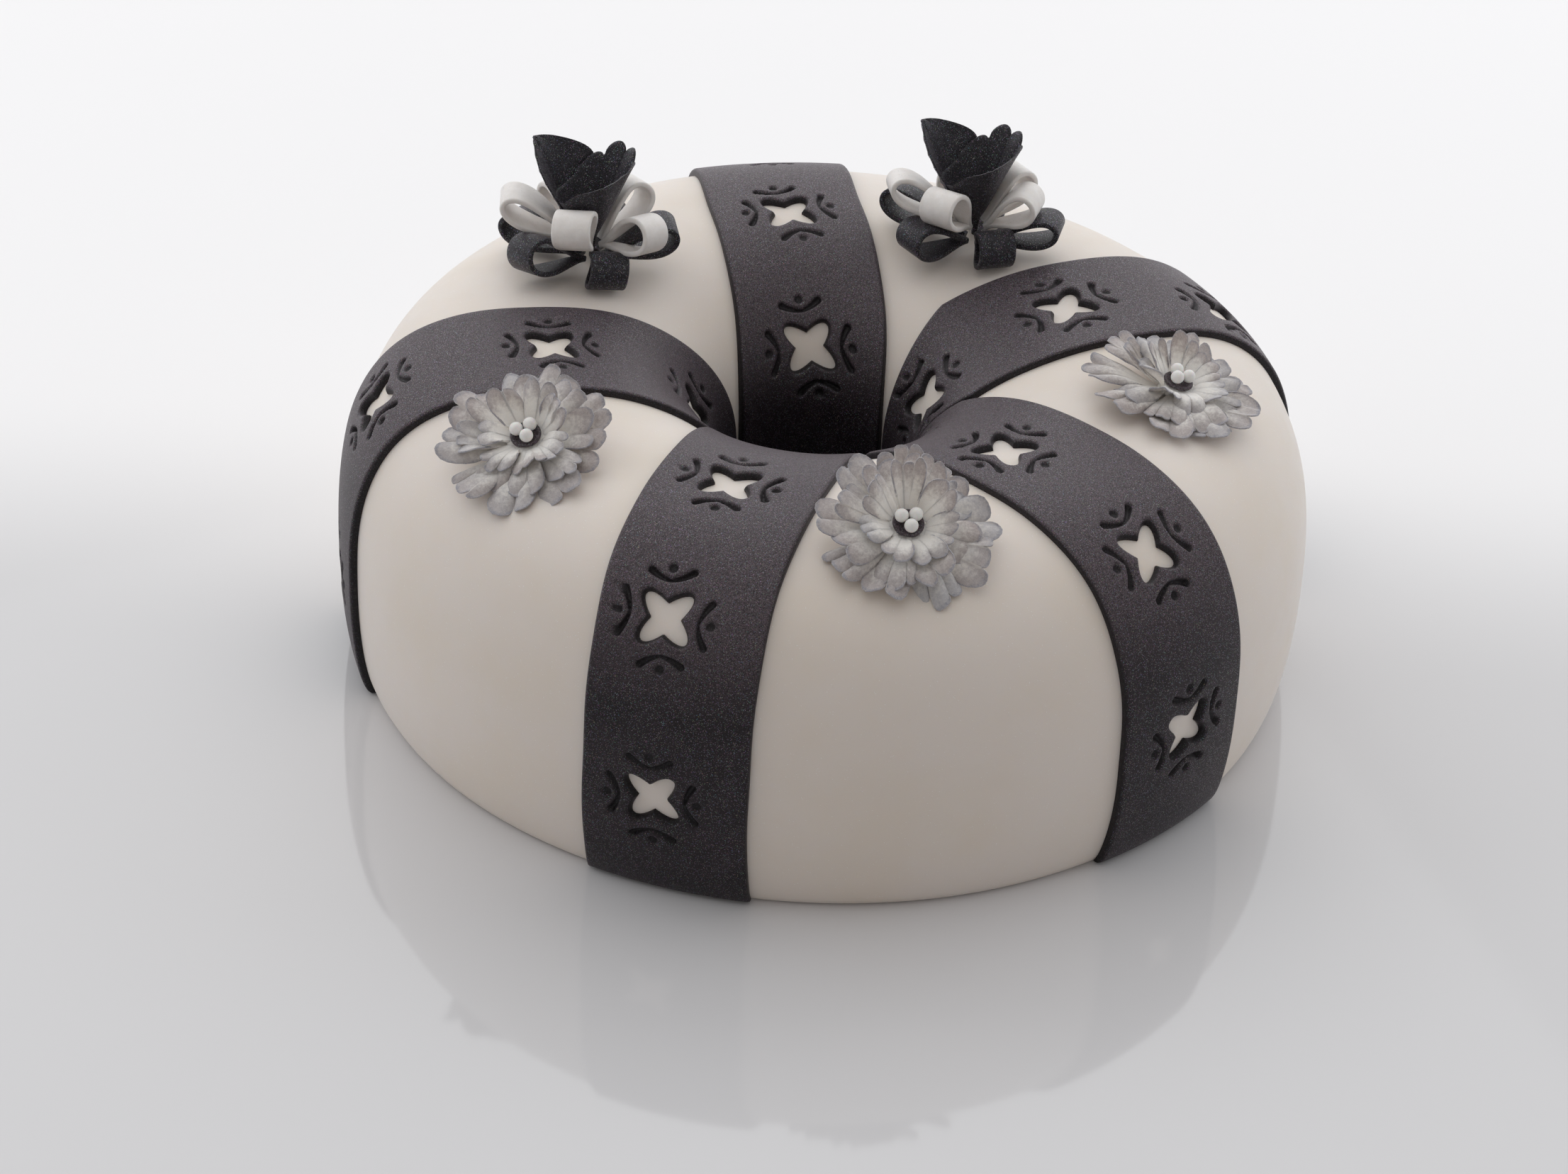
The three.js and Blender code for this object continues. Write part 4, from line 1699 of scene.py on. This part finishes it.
    def folds(self, rim: PetalRim, v: Array) -> tuple[Array, Array]:
        """How strongly a petal is folded.

        Args:
            rim: the petal's rim.
            v: the places along the petal.

        Returns:
            The strength of the creases below its slits, and of the veins in its lobes.
        """
        form = self.form
        crease = np.exp(-((rim.gap[None, :] / form.crease[0]) ** 2)) * smooth(v, *form.crease_span)
        vein = np.exp(-((rim.in_lobe[None, :] / form.vein[0]) ** 2)) * smooth(v, *form.vein_span)
        return crease, vein * (1 - smooth(v, *form.vein_end_span))

    def petal(self, layer: PetalLayer, angle: float, length: float, droop: float,
              random: np.random.Generator) -> tuple[Array, dict[str, Array]]:
        """One petal's front and back grids, in the flower's frame.

        Args:
            layer: the layer that it belongs to.
            angle: where it points, in degrees.
            length: how long it is, as a share of the layer's radius.
            droop: how far its tip hangs below the layer's rim.
            random: the source of its small differences.

        Returns:
            Both grids in one array, and the marks that colour them.
        """
        form, rim = self.form, self.petal_rim(layer, length, random)
        u, t = rim.across[None, :], rim.in_lobe[None, :]
        v = (1 - (1 - np.linspace(0, 1, form.rows)) ** form.crowding)[:, None]
        start = form.foot * layer.flat
        radius = start + (rim.reach[None, :] - start) * v
        spread = lerp(form.foot_width, rim.width, smooth(v, *form.width_span))
        skew = random.uniform(-form.skew, form.skew)
        bearing = math.radians(angle + random.uniform(-form.turn_stray, form.turn_stray))
        theta = bearing + (u + skew * v) * (spread * math.pi / layer.petals)
        out = np.maximum(0, radius - layer.flat) / (layer.radius - layer.flat)
        away = math.cos(math.radians(angle - self.tall))
        late, level, tall = form.bend
        bend = random.uniform(*layer.curl) + tall * away
        lift = random.uniform(*form.lifts, rim.lobes)[rim.lobe][None, :]
        sag = random.uniform(*form.sags)
        cup = random.uniform(*form.cups)
        roll = random.uniform(*form.rolls)
        wave = random.uniform(0, 2 * math.pi, 3)
        crease, vein = self.folds(rim, v)
        crest = smooth(v, *form.crease_rise_span) * (1 - smooth(v, *form.crease_end_span))
        frill, waves, run = form.frill
        height = layer.base + layer.rise * out**layer.curve
        for rise in (
            droop * out**2,
            0.5 * self.thickness[0],
            layer.stand * (away - 1) / 2 * out**form.stand_power,
            bend * smooth(v, *form.bend_span) ** late * (1 - level * np.abs(u)),
            lift * smooth(v, *form.lift_span) ** form.late * (1 - t**4),
            sag * v**form.late,
            cup * (1 - t**2) * smooth(v, *form.cup_span),
            roll * (u**2 - form.roll_level) * smooth(v, *form.roll_span),
            form.overlap * u * smooth(v, *form.overlap_span),
            form.ripple[0] * np.sin(form.ripple[1] * u + wave[0]) * v**2,
            frill * np.sin(waves * u + wave[2] + run * v) * smooth(v, *form.frill_span),
            form.crease[1] * crease * crest,
            form.vein[1] * vein,
        ):
            height = height + rise
        radius = radius + form.swing[0] * np.sin(form.swing[1] * u + wave[1]) * v**2
        radius = radius - form.draw_in * max(bend, 0.0) * smooth(v, *form.draw_span)
        grid = np.stack([radius * np.cos(theta), radius * np.sin(theta), height], -1)
        normal = grid_normals(grid)
        normal *= np.sign(np.sum(normal[..., 2]))
        half = (lerp(*self.thickness, v) / 2)[..., None]
        both = np.stack([grid + normal * half, grid - normal * half])
        side = smooth(np.abs(u), *form.side) * smooth(v, *form.side_span)
        marks = {
            "tip": v,
            "rim": np.maximum(smooth(v, *form.rim_span), side),
            "crease": np.maximum(crease, form.vein[2] * vein),
            "tint": random.uniform(0, 1),
        }
        return both, {name: np.broadcast_to(mark, both.shape[:3]) for name, mark in marks.items()}

    def build(self) -> None:
        """Makes the flower's layers, button and pearls."""
        stream = NumberStream(self.seed)
        random = np.random.default_rng(self.seed)
        for index, layer in enumerate(LAYERS):
            lengths = stream.draw(layer.petals, *self.lengths)
            droops = stream.draw(layer.petals, *self.droops)
            clay = Clay()
            for k in range(layer.petals):
                angle = self.turn + self.layer_turn * index + (k + 0.5) * 360 / layer.petals
                grids, marks = self.petal(layer, angle, lengths[k], droops[k], random)
                clay.add(grids.reshape(-1, 3), sheet_faces(*grids.shape[1:3]), **marks)
            top = layer.base + self.thickness[0]
            profile = [(self.pin, layer.base), (layer.flat, layer.base)]
            profile += [(layer.flat + out, top + up) for out, up in self.disc_rim]
            points, faces = lathe([*profile, (self.pin, top)], self.sides)
            none = np.zeros(len(points))
            clay.add(points, faces, tip=none, rim=none, crease=none, tint=none)
            self.cast(clay, f"{layer.part}_petals", "sugar", PETAL, PETAL_CREASE)
        self.build_button()
        for k in range(self.pearls):
            self.build_pearl(k)

    def build_button(self) -> None:
        """Makes the black button, dished round its rim."""
        radius, base = self.button_radius, self.button_base
        profile = [(radius + out, base + up) for out, up in self.button_rim]
        ends = (self.button_pin, base), (self.button_pin, base + self.button_dish)
        points, faces = lathe([ends[0], *profile, ends[1]], self.button_sides)
        turn = np.arctan2(points[:, 1], points[:, 0])
        rise, waves = self.button_wave
        points[:, 2] += rise * np.sin(waves * turn + self.seed) * np.hypot(*points.T[:2]) / radius
        clay = Clay()
        clay.add(points, faces)
        self.cast(clay, "button", "black", BUTTON_BLACK, CREASE)

    def build_pearl(self, index: int) -> None:
        """Makes one sugar pearl, not quite round and a little flat underneath.

        Args:
            index: the pearl's number, from 0.
        """
        radius = self.pearl_radius
        steps = np.linspace(self.pearl_pole, math.pi - self.pearl_pole, self.pearl_rows)
        profile = [(math.sin(step) * radius, -math.cos(step) * radius) for step in steps]
        points, faces = lathe(profile, self.sides)
        uneven, across, along = self.pearl_dent
        dent = np.sin(across * points[:, 0] / radius + index + self.seed)
        points *= (1 + uneven * dent * np.cos(along * points[:, 1] / radius))[:, None]
        points[:, 2] = np.maximum(points[:, 2], -self.pearl_flat * radius)
        cosine, sine = heading(self.pearl_turn + 360 / self.pearls * index)
        points += [self.pearl_spacing * cosine, self.pearl_spacing * sine, self.pearl_height]
        clay = Clay()
        clay.add(points, faces)
        self.cast(clay, f"pearl_{index + 1}", "sugar", PEARL, CREASE)


# ---- the bows


@dataclass(frozen=True)
class Loop:
    """A strip of paste folded into a drop-shaped loop along +X.

    Attributes:
        length: from the pinch to the round end.
        roll: how far it is turned about its own length.
        axis_height: how high the pinch sits.
        pinch_reach: how far the pinch lies from the bow's middle.
        taper: the places along the loop between which the strip widens.
        fullness: how strongly it draws in towards the pinch.
        corner: the radius of the strip's edges.
        corner_share: the most of a narrow strip's half width that this may be.
        corner_turns: the degrees of the points on each edge.
        crown: how far the strip's middle stands out.
    """

    direction: float
    tilt: float
    length: float
    roll: float
    half_height: float
    axis_height: float
    thickness: float = 1.5
    width: float = 10.8
    pinch_width: float = 2.4
    pinch_reach: float = 2.8
    taper: Pair = (-0.1, 0.75)
    fullness: float = 2.0
    corner: float = 0.5
    corner_share: float = 0.8
    corner_turns: tuple[int, ...] = (0, 30, 60, 90)
    crown: float = 0.14
    stations: int = 84

    def outline(self, half_width: float) -> Array:
        """The strip's cross section with rounded corners.

        Args:
            half_width: half the strip's width.

        Returns:
            Its points as sideways and outward offsets.
        """
        half = self.thickness / 2
        corner = min(self.corner, half_width * self.corner_share)
        points = []
        for x, z, start in ((1, 1, 0), (-1, 1, 90), (-1, -1, 180), (1, -1, 270)):
            for step in self.corner_turns:
                cosine, sine = heading(start + step)
                points.append([x * (half_width - corner) + corner * cosine,
                               z * (half - corner) + corner * sine])
        return np.array(points)

    def shape(self, bend: float) -> Shape:
        """The loop in the bow's frame.

        Args:
            bend: how far its round end leans to one side.

        Returns:
            Its points and its faces.
        """
        turn = np.linspace(0.0, 2 * math.pi, self.stations)
        x = (self.length - self.thickness / 2) * (1 - np.cos(turn)) / 2
        curve = np.sin(turn) * np.sin(turn / 2) ** self.fullness
        z = (self.half_height - self.thickness / 2) * curve / curve.max()
        along = np.stack([np.gradient(x), np.gradient(z)], -1)
        along[0], along[-1] = along[1], along[-2]
        along /= np.linalg.norm(along, axis=1, keepdims=True)
        widths = lerp(self.pinch_width, self.width, smooth(x / self.length, *self.taper))
        rows = []
        for k in range(self.stations):
            section = self.outline(widths[k] / 2)
            crown = self.crown * (1 - (2 * section[:, 0] / widths[k]) ** 2)
            off = -(section[:, 1] + crown)
            aside = section[:, 0] + bend * (x[k] / self.length) ** 2
            rows.append(np.stack([x[k] + off * along[k, 1], aside, z[k] - off * along[k, 0]], -1))
        count = len(rows[0])
        faces = grid_faces(self.stations, count, round_columns=True)
        faces.append(tuple(range(count)))
        faces.append(tuple(reversed(range((self.stations - 1) * count, self.stations * count))))
        turns = turned("Z", self.direction) @ turned("Y", -self.tilt) @ turned("X", self.roll)
        points = np.concatenate(rows) @ turns.T
        cosine, sine = heading(self.direction)
        place = [self.pinch_reach * cosine, self.pinch_reach * sine, self.axis_height]
        return points + place, faces


@dataclass(frozen=True)
class Bloom:
    """A black petal rolled into a funnel with a lobed rim, and the pointed leaf beside it.

    Attributes:
        stem: how far its foot runs down below.
        stem_rings: the foot's rings: radius, share of the way down, and wall.
        height_swing: how far the rim leans towards the bearing height_turn.
        lobes: for each lobe of the rim, its bearing, its half span and how far it stands up.
        full_lobe: how far a lobe stands up that bends outwards in full.
        flare: how far such a lobe bends outwards, and how late.
        rim_wave: the height and number of the rim's fine waves.
        dent: how uneven the wall is, its waves round, and their turn on the way up.
        dip: how far the rim drops behind the leaf, and dip_span, how far round.
        wall: its wall at the foot and at the rim.
        bottom: how much higher its bottom lies inside, and where that ends.
        lip: how far the rim's inner edge lies lower.
        leaf_side: the bearing of the leaf, and leaf_sweep, how far its middle swings round.
        leaf_foot: how far its foot lies from the funnel's axis, and leaf_reach, its tip.
        leaf_half: half its greatest width, and leaf_least, at its foot and tip.
        leaf_wide: how much wider its left half is, low down and higher up.
        leaf_powers: where along it the leaf is widest, and how full it is.
        leaf_edge: how uneven its edge is, and how closely.
        leaf_curl: how far its sides ripple, how closely along it, and across it.
        vein: the half width and height of its middle vein.
        twigs: the height, number, slant and sharpness of its side veins.
        twig_spans: where across it they start and end.
        leaf_wall: its thickness in the middle of its foot and at its edges.
    """

    base_height: float = 10.0
    base_radius: float = 1.3
    stem: float = 5.5
    stem_rings: tuple[Triple, ...] = (
        (0.5, 1.0, 0.2), (0.9, 0.55, 0.3), (1.2, 0.15, 0.5)
    )
    radius: float = 10.1
    radius_swing: float = 0.45
    height: float = 18.2
    height_swing: float = 3.6
    height_turn: float = 15.0
    lobes: tuple[Triple, ...] = (
        (20.0, 18.0, 2.9),
        (56.0, 18.0, 2.9),
        (102.0, 25.0, 1.6),
        (240.0, 15.0, 0.8),
        (272.0, 19.0, 0.9),
        (312.0, 22.0, 1.0),
        (347.0, 15.0, 1.6),
    )
    full_lobe: float = 2.8
    flare: tuple[float, int] = (0.8, 5)
    rim_wave: Pair = (0.25, 9.0)
    dent: Triple = (0.18, 6.0, 3.0)
    spread: float = 0.9
    dip: float = 3.5
    dip_span: Pair = (30.0, 100.0)
    wall: Pair = (1.0, 0.5)
    bottom: Pair = (2.0, 8.0)
    least_radius: float = 0.12
    lip: float = 0.12
    rows: int = 26
    columns: int = 160
    leaf_side: float = 165.0
    leaf_sweep: float = 7.0
    leaf_length: float = 26.4
    leaf_foot: float = 3.4
    leaf_reach: float = 16.2
    leaf_half: float = 8.4
    leaf_least: float = 0.25
    leaf_wide: Pair = (1.3, 0.5)
    leaf_wide_span: Pair = (0.3, 0.8)
    leaf_powers: Pair = (1.35, 0.8)
    leaf_edge: Pair = (0.035, 19.0)
    leaf_cup: float = 0.8
    leaf_lift: float = 0.5
    leaf_curl: Triple = (0.35, 9.0, 2.0)
    vein: Pair = (0.07, 0.35)
    twigs: tuple[float, float, float, int] = (0.2, 7.5, 1.9, 8)
    twig_spans: tuple[Pair, ...] = ((0.06, 0.2), (0.8, 1.0))
    leaf_wall: Pair = (1.0, 0.45)
    leaf_rows: int = 44
    leaf_columns: int = 33

    def rim(self, angle: Array) -> tuple[Array, Array]:
        """The funnel's rim.

        Args:
            angle: bearings round the funnel, in degrees.

        Returns:
            Its height, and how strongly it bends outwards.
        """
        height = self.height + self.height_swing * np.cos(np.radians(angle - self.height_turn))
        lobe = np.zeros(np.shape(angle))
        flare = np.zeros(np.shape(angle))
        for middle, half, gain in self.lobes:
            off = (angle - middle + 180) % 360 - 180
            arch = np.sqrt(np.clip(1 - (off / half) ** 2, 0, 1))
            lobe = np.maximum(lobe, gain * arch)
            flare = np.maximum(flare, arch * gain / self.full_lobe)
        off = (angle - self.leaf_side + 180) % 360 - 180
        height = height + lobe - self.dip * (1 - smooth(np.abs(off), *self.dip_span))
        return height + self.rim_wave[0] * np.sin(np.radians(self.rim_wave[1] * angle)), flare

    def funnel(self) -> Shape:
        """The funnel in the bow's frame.

        Returns:
            Its points and its faces.
        """
        angle = np.arange(self.columns) / self.columns * 360.0
        top, flare = self.rim(angle)
        share = np.linspace(0, 1, self.rows)[:, None]
        turn = np.radians(angle)[None, :]
        rim = self.radius + self.radius_swing * (np.cos(turn) + np.cos(2 * turn))
        radius = lerp(self.base_radius, rim, share**self.spread)
        radius = radius + self.flare[0] * flare * share ** self.flare[1]
        dent, around, rise = self.dent
        radius = radius + dent * np.sin(around * turn + rise * share) * share
        height = lerp(0.0, top[None, :], share)
        stem_radius, way, stem_wall = np.array(self.stem_rings).T[:, :, None]
        foot = (len(way), self.columns)
        radius = np.concatenate([np.broadcast_to(stem_radius, foot), radius])
        height = np.concatenate([np.broadcast_to(-self.stem * way, foot), height])
        turn = np.broadcast_to(turn, radius.shape)
        outer = np.stack([radius * np.cos(turn), radius * np.sin(turn), height], -1)
        wall = np.concatenate([stem_wall, lerp(*self.wall, share)])
        raised, fade = self.bottom
        floor = np.maximum(height + raised * (1 - smooth(height, 0, fade)), height)
        inside = np.maximum(radius - wall, self.least_radius)
        inner = np.stack([inside * np.cos(turn), inside * np.sin(turn), floor], -1)
        inner[-1, :, 2] = outer[-1, :, 2] - self.lip
        grids = np.stack([outer, inner])
        grids[..., 2] += self.base_height
        return grids.reshape(-1, 3), sheet_faces(*grids.shape[1:3], round_columns=True)

    def leaf(self) -> Shape:
        """The leaf in the bow's frame.

        Returns:
            Its points and its faces.
        """
        share = np.linspace(0, 1, self.leaf_rows)[:, None]
        aside = np.linspace(-1, 1, self.leaf_columns)[None, :]
        off = np.abs(aside)
        middle = lerp(self.leaf_foot, self.leaf_reach, share**self.spread)
        low, more = self.leaf_wide
        wide = np.where(aside < 0, low + more * smooth(share, *self.leaf_wide_span), 1.0)
        widest, full = self.leaf_powers
        half = self.leaf_half * wide * np.sin(math.pi * share**widest) ** full
        half = self.leaf_least + half
        half = half * (1 + self.leaf_edge[0] * np.sin(self.leaf_edge[1] * share))
        side = self.leaf_side - self.leaf_sweep * np.sin(math.pi * share)
        angle = np.radians(side) + aside * half / middle
        vein = np.exp(-((aside / self.vein[0]) ** 2))
        rise, count, slant, sharp = self.twigs
        twigs = 0.5 + 0.5 * np.cos(2 * math.pi * (count * share - slant * off))
        start, end = self.twig_spans
        twigs = twigs**sharp * smooth(off, *start) * (1 - smooth(off, *end))
        cup = self.leaf_cup * (1 - off) * np.sin(math.pi * share)
        radius = middle + cup + self.leaf_lift + self.vein[1] * vein + rise * twigs
        curl, along, across = self.leaf_curl
        radius = radius + curl * np.sin(along * share + across * aside) * off**2
        height = np.broadcast_to(self.leaf_length * share, radius.shape)
        grid = np.stack([radius * np.cos(angle), radius * np.sin(angle), height], -1)
        normal = grid_normals(grid)
        wall = lerp(*self.leaf_wall, np.maximum(off, share))[..., None]
        grids = np.stack([grid + normal * wall / 2, grid - normal * wall / 2])
        grids[..., 2] += self.base_height
        return grids.reshape(-1, 3), sheet_faces(*grids.shape[1:3])


@dataclass
class Bow:
    """A bow of black and white loops with a funnel-shaped bloom standing in it.

    Attributes:
        black: direction, tilt, length, roll and half height of each black loop.
        white: the same of each white loop.
        heights: how high the black and the white loops are pinched.
        bend: the least and greatest lean of a loop's round end.
    """

    skin: RingSkin
    name: str
    reach: float
    bearing: float
    black: tuple[LoopRow, ...]
    white: tuple[LoopRow, ...]
    seed: int
    heights: Pair = (3.4, 7.7)
    bend: Pair = (-0.4, 0.4)
    bloom: Bloom = Bloom()

    def cast(self, shape: Shape, node: str, ending: str, finish: Finish) -> None:
        """Puts one shape in its place on the ring.

        Args:
            shape: its points and its faces.
            node: what the name of its node ends in.
            ending: what its own name ends in.
            finish: what it is dressed in.
        """
        clay = Clay()
        clay.add(*shape)
        clay.place(np.eye(3), self.skin.point(self.reach, self.bearing, uneven=False))
        clay.cast(f"{self.name}_{node}_{ending}", finish, [f"{self.name}_{node}"])

    def build(self) -> None:
        """Makes the loops, the funnel and the leaf."""
        stream = NumberStream(self.seed)
        kinds = (
            ("black", self.black, self.heights[0], "glitter", BOW_BLACK),
            ("white", self.white, self.heights[1], "satin", WHITE),
        )
        for kind, rows, height, ending, finish in kinds:
            for k, row in enumerate(rows, start=1):
                loop = Loop(*row, height).shape(float(stream.draw(1, *self.bend)[0]))
                self.cast(loop, f"{kind}_loop_{k}", ending, finish)
        self.cast(self.bloom.funnel(), "funnel", "glitter", BOW_BLACK)
        self.cast(self.bloom.leaf(), "leaf", "glitter", BOW_BLACK)


# ---- stage


@dataclass(frozen=True)
class Softbox:
    """A soft studio light. Places and sizes are in metres, and its power is in watts.

    Attributes:
        mirrored: whether glossy surfaces show it.
    """

    name: str
    place: Triple
    size: Pair
    power: float
    color: Color
    aim: Triple = (0.0, 0.0, 0.05)
    mirrored: bool = True

    def build(self) -> None:
        """Makes the light."""
        light = bpy.data.lights.new(self.name, "AREA")
        light.shape = "RECTANGLE"
        light.size, light.size_y = self.size
        light.energy = self.power
        light.color = self.color
        lamp = bpy.data.objects.new(self.name, light)
        lamp.location = self.place
        facing = Vector(self.aim) - Vector(self.place)
        lamp.rotation_euler = facing.to_track_quat("-Z", "Y").to_euler()
        lamp.visible_glossy = self.mirrored
        bpy.context.scene.collection.objects.link(lamp)


@dataclass(frozen=True)
class Viewpoint:
    """The camera: how far it stands off, how high it looks from and where the cake sits in view.

    Attributes:
        centre: the ring's axis, which it looks towards.
        width: the frame's width in pixels, and height, its height.
        focal: its focal length in pixels.
        elevation: how many degrees above the table it looks from.
        target_height: the height that it looks at.
        target_pixel: where in the frame that place is seen.
        roll: how many degrees it leans to one side.
    """

    centre: Pair
    width: int = 2212
    height: int = 1656
    focal: float = 6000.0
    distance: float = 1155.65
    elevation: float = 32.27
    target_height: float = 40.0
    target_pixel: Pair = (1159.95, 712.48)
    roll: float = 2.655
    sensor: float = 36.0
    clip: Pair = (0.05, 50.0)

    def build(self) -> None:
        """Makes the camera and lets the scene use it."""
        cosine, sine = heading(self.elevation)
        place = np.array([0.0, -cosine, sine]) * self.distance
        place += [*self.centre, self.target_height]
        pan = math.atan((self.target_pixel[0] - self.width / 2) / self.focal)
        nod = math.atan((self.target_pixel[1] - self.height / 2) / self.focal)
        view = np.eye(4)
        view[:3, :3] = turned("X", 90 - self.elevation) @ turned("Y", math.degrees(pan))
        view[:3, :3] = view[:3, :3] @ turned("X", math.degrees(nod)) @ turned("Z", self.roll)
        view[:3, 3] = place * MM
        data = bpy.data.cameras.new("viewpoint")
        data.sensor_width = self.sensor
        data.lens = self.focal / self.width * self.sensor
        data.clip_start, data.clip_end = self.clip
        camera = bpy.data.objects.new("viewpoint", data)
        camera.matrix_world = Matrix(view.tolist())
        bpy.context.scene.collection.objects.link(camera)
        bpy.context.scene.camera = camera


@dataclass(frozen=True)
class Stage:
    """The table, the lights and the pale room round the cake. Sizes are in metres."""

    table: float = 8.0
    room: Color = (1.0, 0.978, 0.96)
    room_strength: float = 0.41
    lights: tuple[Softbox, ...] = (
        Softbox(
            "behind", (-0.9, 1.9, 1.45), (7.0, 3.0), 54.0, (0.955, 0.98, 1.0), (-0.7, 0.0, 1.1)
        ),
        Softbox("overhead", (-0.3, 0.45, 1.75), (3.0, 3.0), 12.5, (0.97, 0.985, 1.0)),
        Softbox("right", (1.35, 0.5, 0.55), (1.2, 1.1), 6.2, (0.88, 0.94, 1.0), mirrored=False),
        Softbox("left", (-1.35, 0.1, 0.55), (1.2, 1.1), 3.9, (0.88, 0.94, 1.0), mirrored=False),
    )

    def build(self) -> None:
        """Makes the table, the lights and the room's light."""
        half = self.table / 2
        mesh = bpy.data.meshes.new("tabletop")
        corners = [(-half, -half, 0), (half, -half, 0), (half, half, 0), (-half, half, 0)]
        mesh.from_pydata(corners, [], [(0, 1, 2, 3)])
        table = bpy.data.objects.new("tabletop", mesh)
        table.data.materials.append(Tabletop().material())
        bpy.context.scene.collection.objects.link(table)
        for light in self.lights:
            light.build()
        world = bpy.data.worlds.new("room")
        world.use_nodes = True
        sky = world.node_tree.nodes["Background"]
        sky.inputs[0].default_value = (*self.room, 1.0)
        sky.inputs[1].default_value = self.room_strength
        bpy.context.scene.world = world
        bpy.context.scene.view_settings.view_transform = "Standard"


# ---- the whole cake


def bands(skin: RingSkin) -> list[Band]:
    """The five bands, from the one in front on the left.

    Args:
        skin: the ring that they lie on.

    Returns:
        The bands, each with its stars from the foot upwards.
    """
    return [
        Band(skin, "band_front_left", -16.5, -16.9, (-48.5, 14.6),
             ((32.3, -17.7, 6.5), (80.6, -18.4, 5.5), (127.2, -18.3, 1), (174, -17, 0)), 3),
        Band(skin, "band_front_right", 45.7, 47, (14.6, 79.7),
             ((38, 45.9, 6.5), (87.9, 45.2, 3.5), (135.3, 42.8, 12), (180, 46, 0)), 5),
        Band(skin, "band_right", 113.7, 111, (79.7, 140.6),
             ((42, 113.2, 4), (88.3, 111.5, 3), (133.1, 113.7, 11), (178.3, 109.9, 0)), 7),
        Band(skin, "band_back", 191.3, 188, (140.6, 235.4),
             ((42, 191.3, -5), (88, 191.3, 3), (132, 191.35, 6), (177.4, 191.3, 7.5)), 11),
        Band(skin, "band_left", -80.5, -82, (-124.6, -48.5),
             ((29.6, -80.3, 3), (79.9, -81, 4), (131.9, -81.7, 5), (179.9, -84, 0)), 13, 47.5),
    ]


def flowers(skin: RingSkin) -> list[Flower]:
    """The three sugar flowers.

    Args:
        skin: the ring that they stand on.

    Returns:
        The flowers.
    """
    return [
        Flower(skin, "flower_left", 108.5, -51.3, 2.0, 11.5, 9.8, 10, 98, 11, 112),
        Flower(skin, "flower_front", 108.4, 12, 3.2, 16, 1.5, 25, 272, 23, 82),
        Flower(skin, "flower_right", 111.4, 79.8, 0.9, 7.8, 0, 0, 160, 37, 25),
    ]


def bows(skin: RingSkin) -> list[Bow]:
    """The two bows.

    Args:
        skin: the ring that they stand on.

    Returns:
        The bows, each with its black and then its white loops.
    """
    return [
        Bow(skin, "bow_left", 131.2, -117.8,
            ((216.1, 19.6, 21.7, 14.1, 5.3),
             (292.8, 10.5, 13.4, -10.5, 5.2),
             (10.8, 20.2, 21.7, 0.8, 4.4),
             (151.9, 8.9, 24.5, 4.1, 4.6),
             (84.3, 8.5, 20.1, -1.2, 4.4)),
            ((182.7, 32.5, 25.6, 1.2, 4.2),
             (125.6, 29.8, 19.5, 0.2, 4.8),
             (250.7, 46.8, 17.6, 9.4, 5.3),
             (336.3, 26.7, 18.8, -17.4, 5.3),
             (40.3, 45, 19.5, -14.8, 4.9)),
            17),
        Bow(skin, "bow_right", 132.8, 147.4,
            ((212.3, 14.5, 20, 2.7, 4.9),
             (295, 14.3, 12.5, -3.9, 5.3),
             (349.5, 18.7, 22.2, -2.8, 4.1),
             (152.7, 14.4, 25.6, 10.7, 4.6),
             (79.8, 7.1, 20, -0.2, 4.4)),
            ((181.4, 31.1, 24.8, 12, 4.3),
             (111.9, 31.1, 15.6, -0.1, 4.9),
             (226.6, 42.4, 18.7, 7.8, 5.1),
             (345, 39, 18, -1.6, 4.7),
             (34.5, 50.8, 18.7, 0.9, 5)),
            29),
    ]


def main() -> None:
    """Builds and dresses every piece, then the stage."""
    logging.basicConfig(level=logging.INFO, format="%(name)s: %(message)s")
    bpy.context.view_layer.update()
    low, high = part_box("cake_ring")
    skin = RingSkin(((low.x + high.x) / 2 / MM, (low.y + high.y) / 2 / MM))
    CakeRing(skin).build()
    for part in [*bands(skin), *flowers(skin), *bows(skin)]:
        part.build()
        LOG.info("%s is dressed", part.name)
    Viewpoint(skin.centre).build()
    Stage().build()
    bpy.context.view_layer.update()


if __name__ == "__main__":
    main()
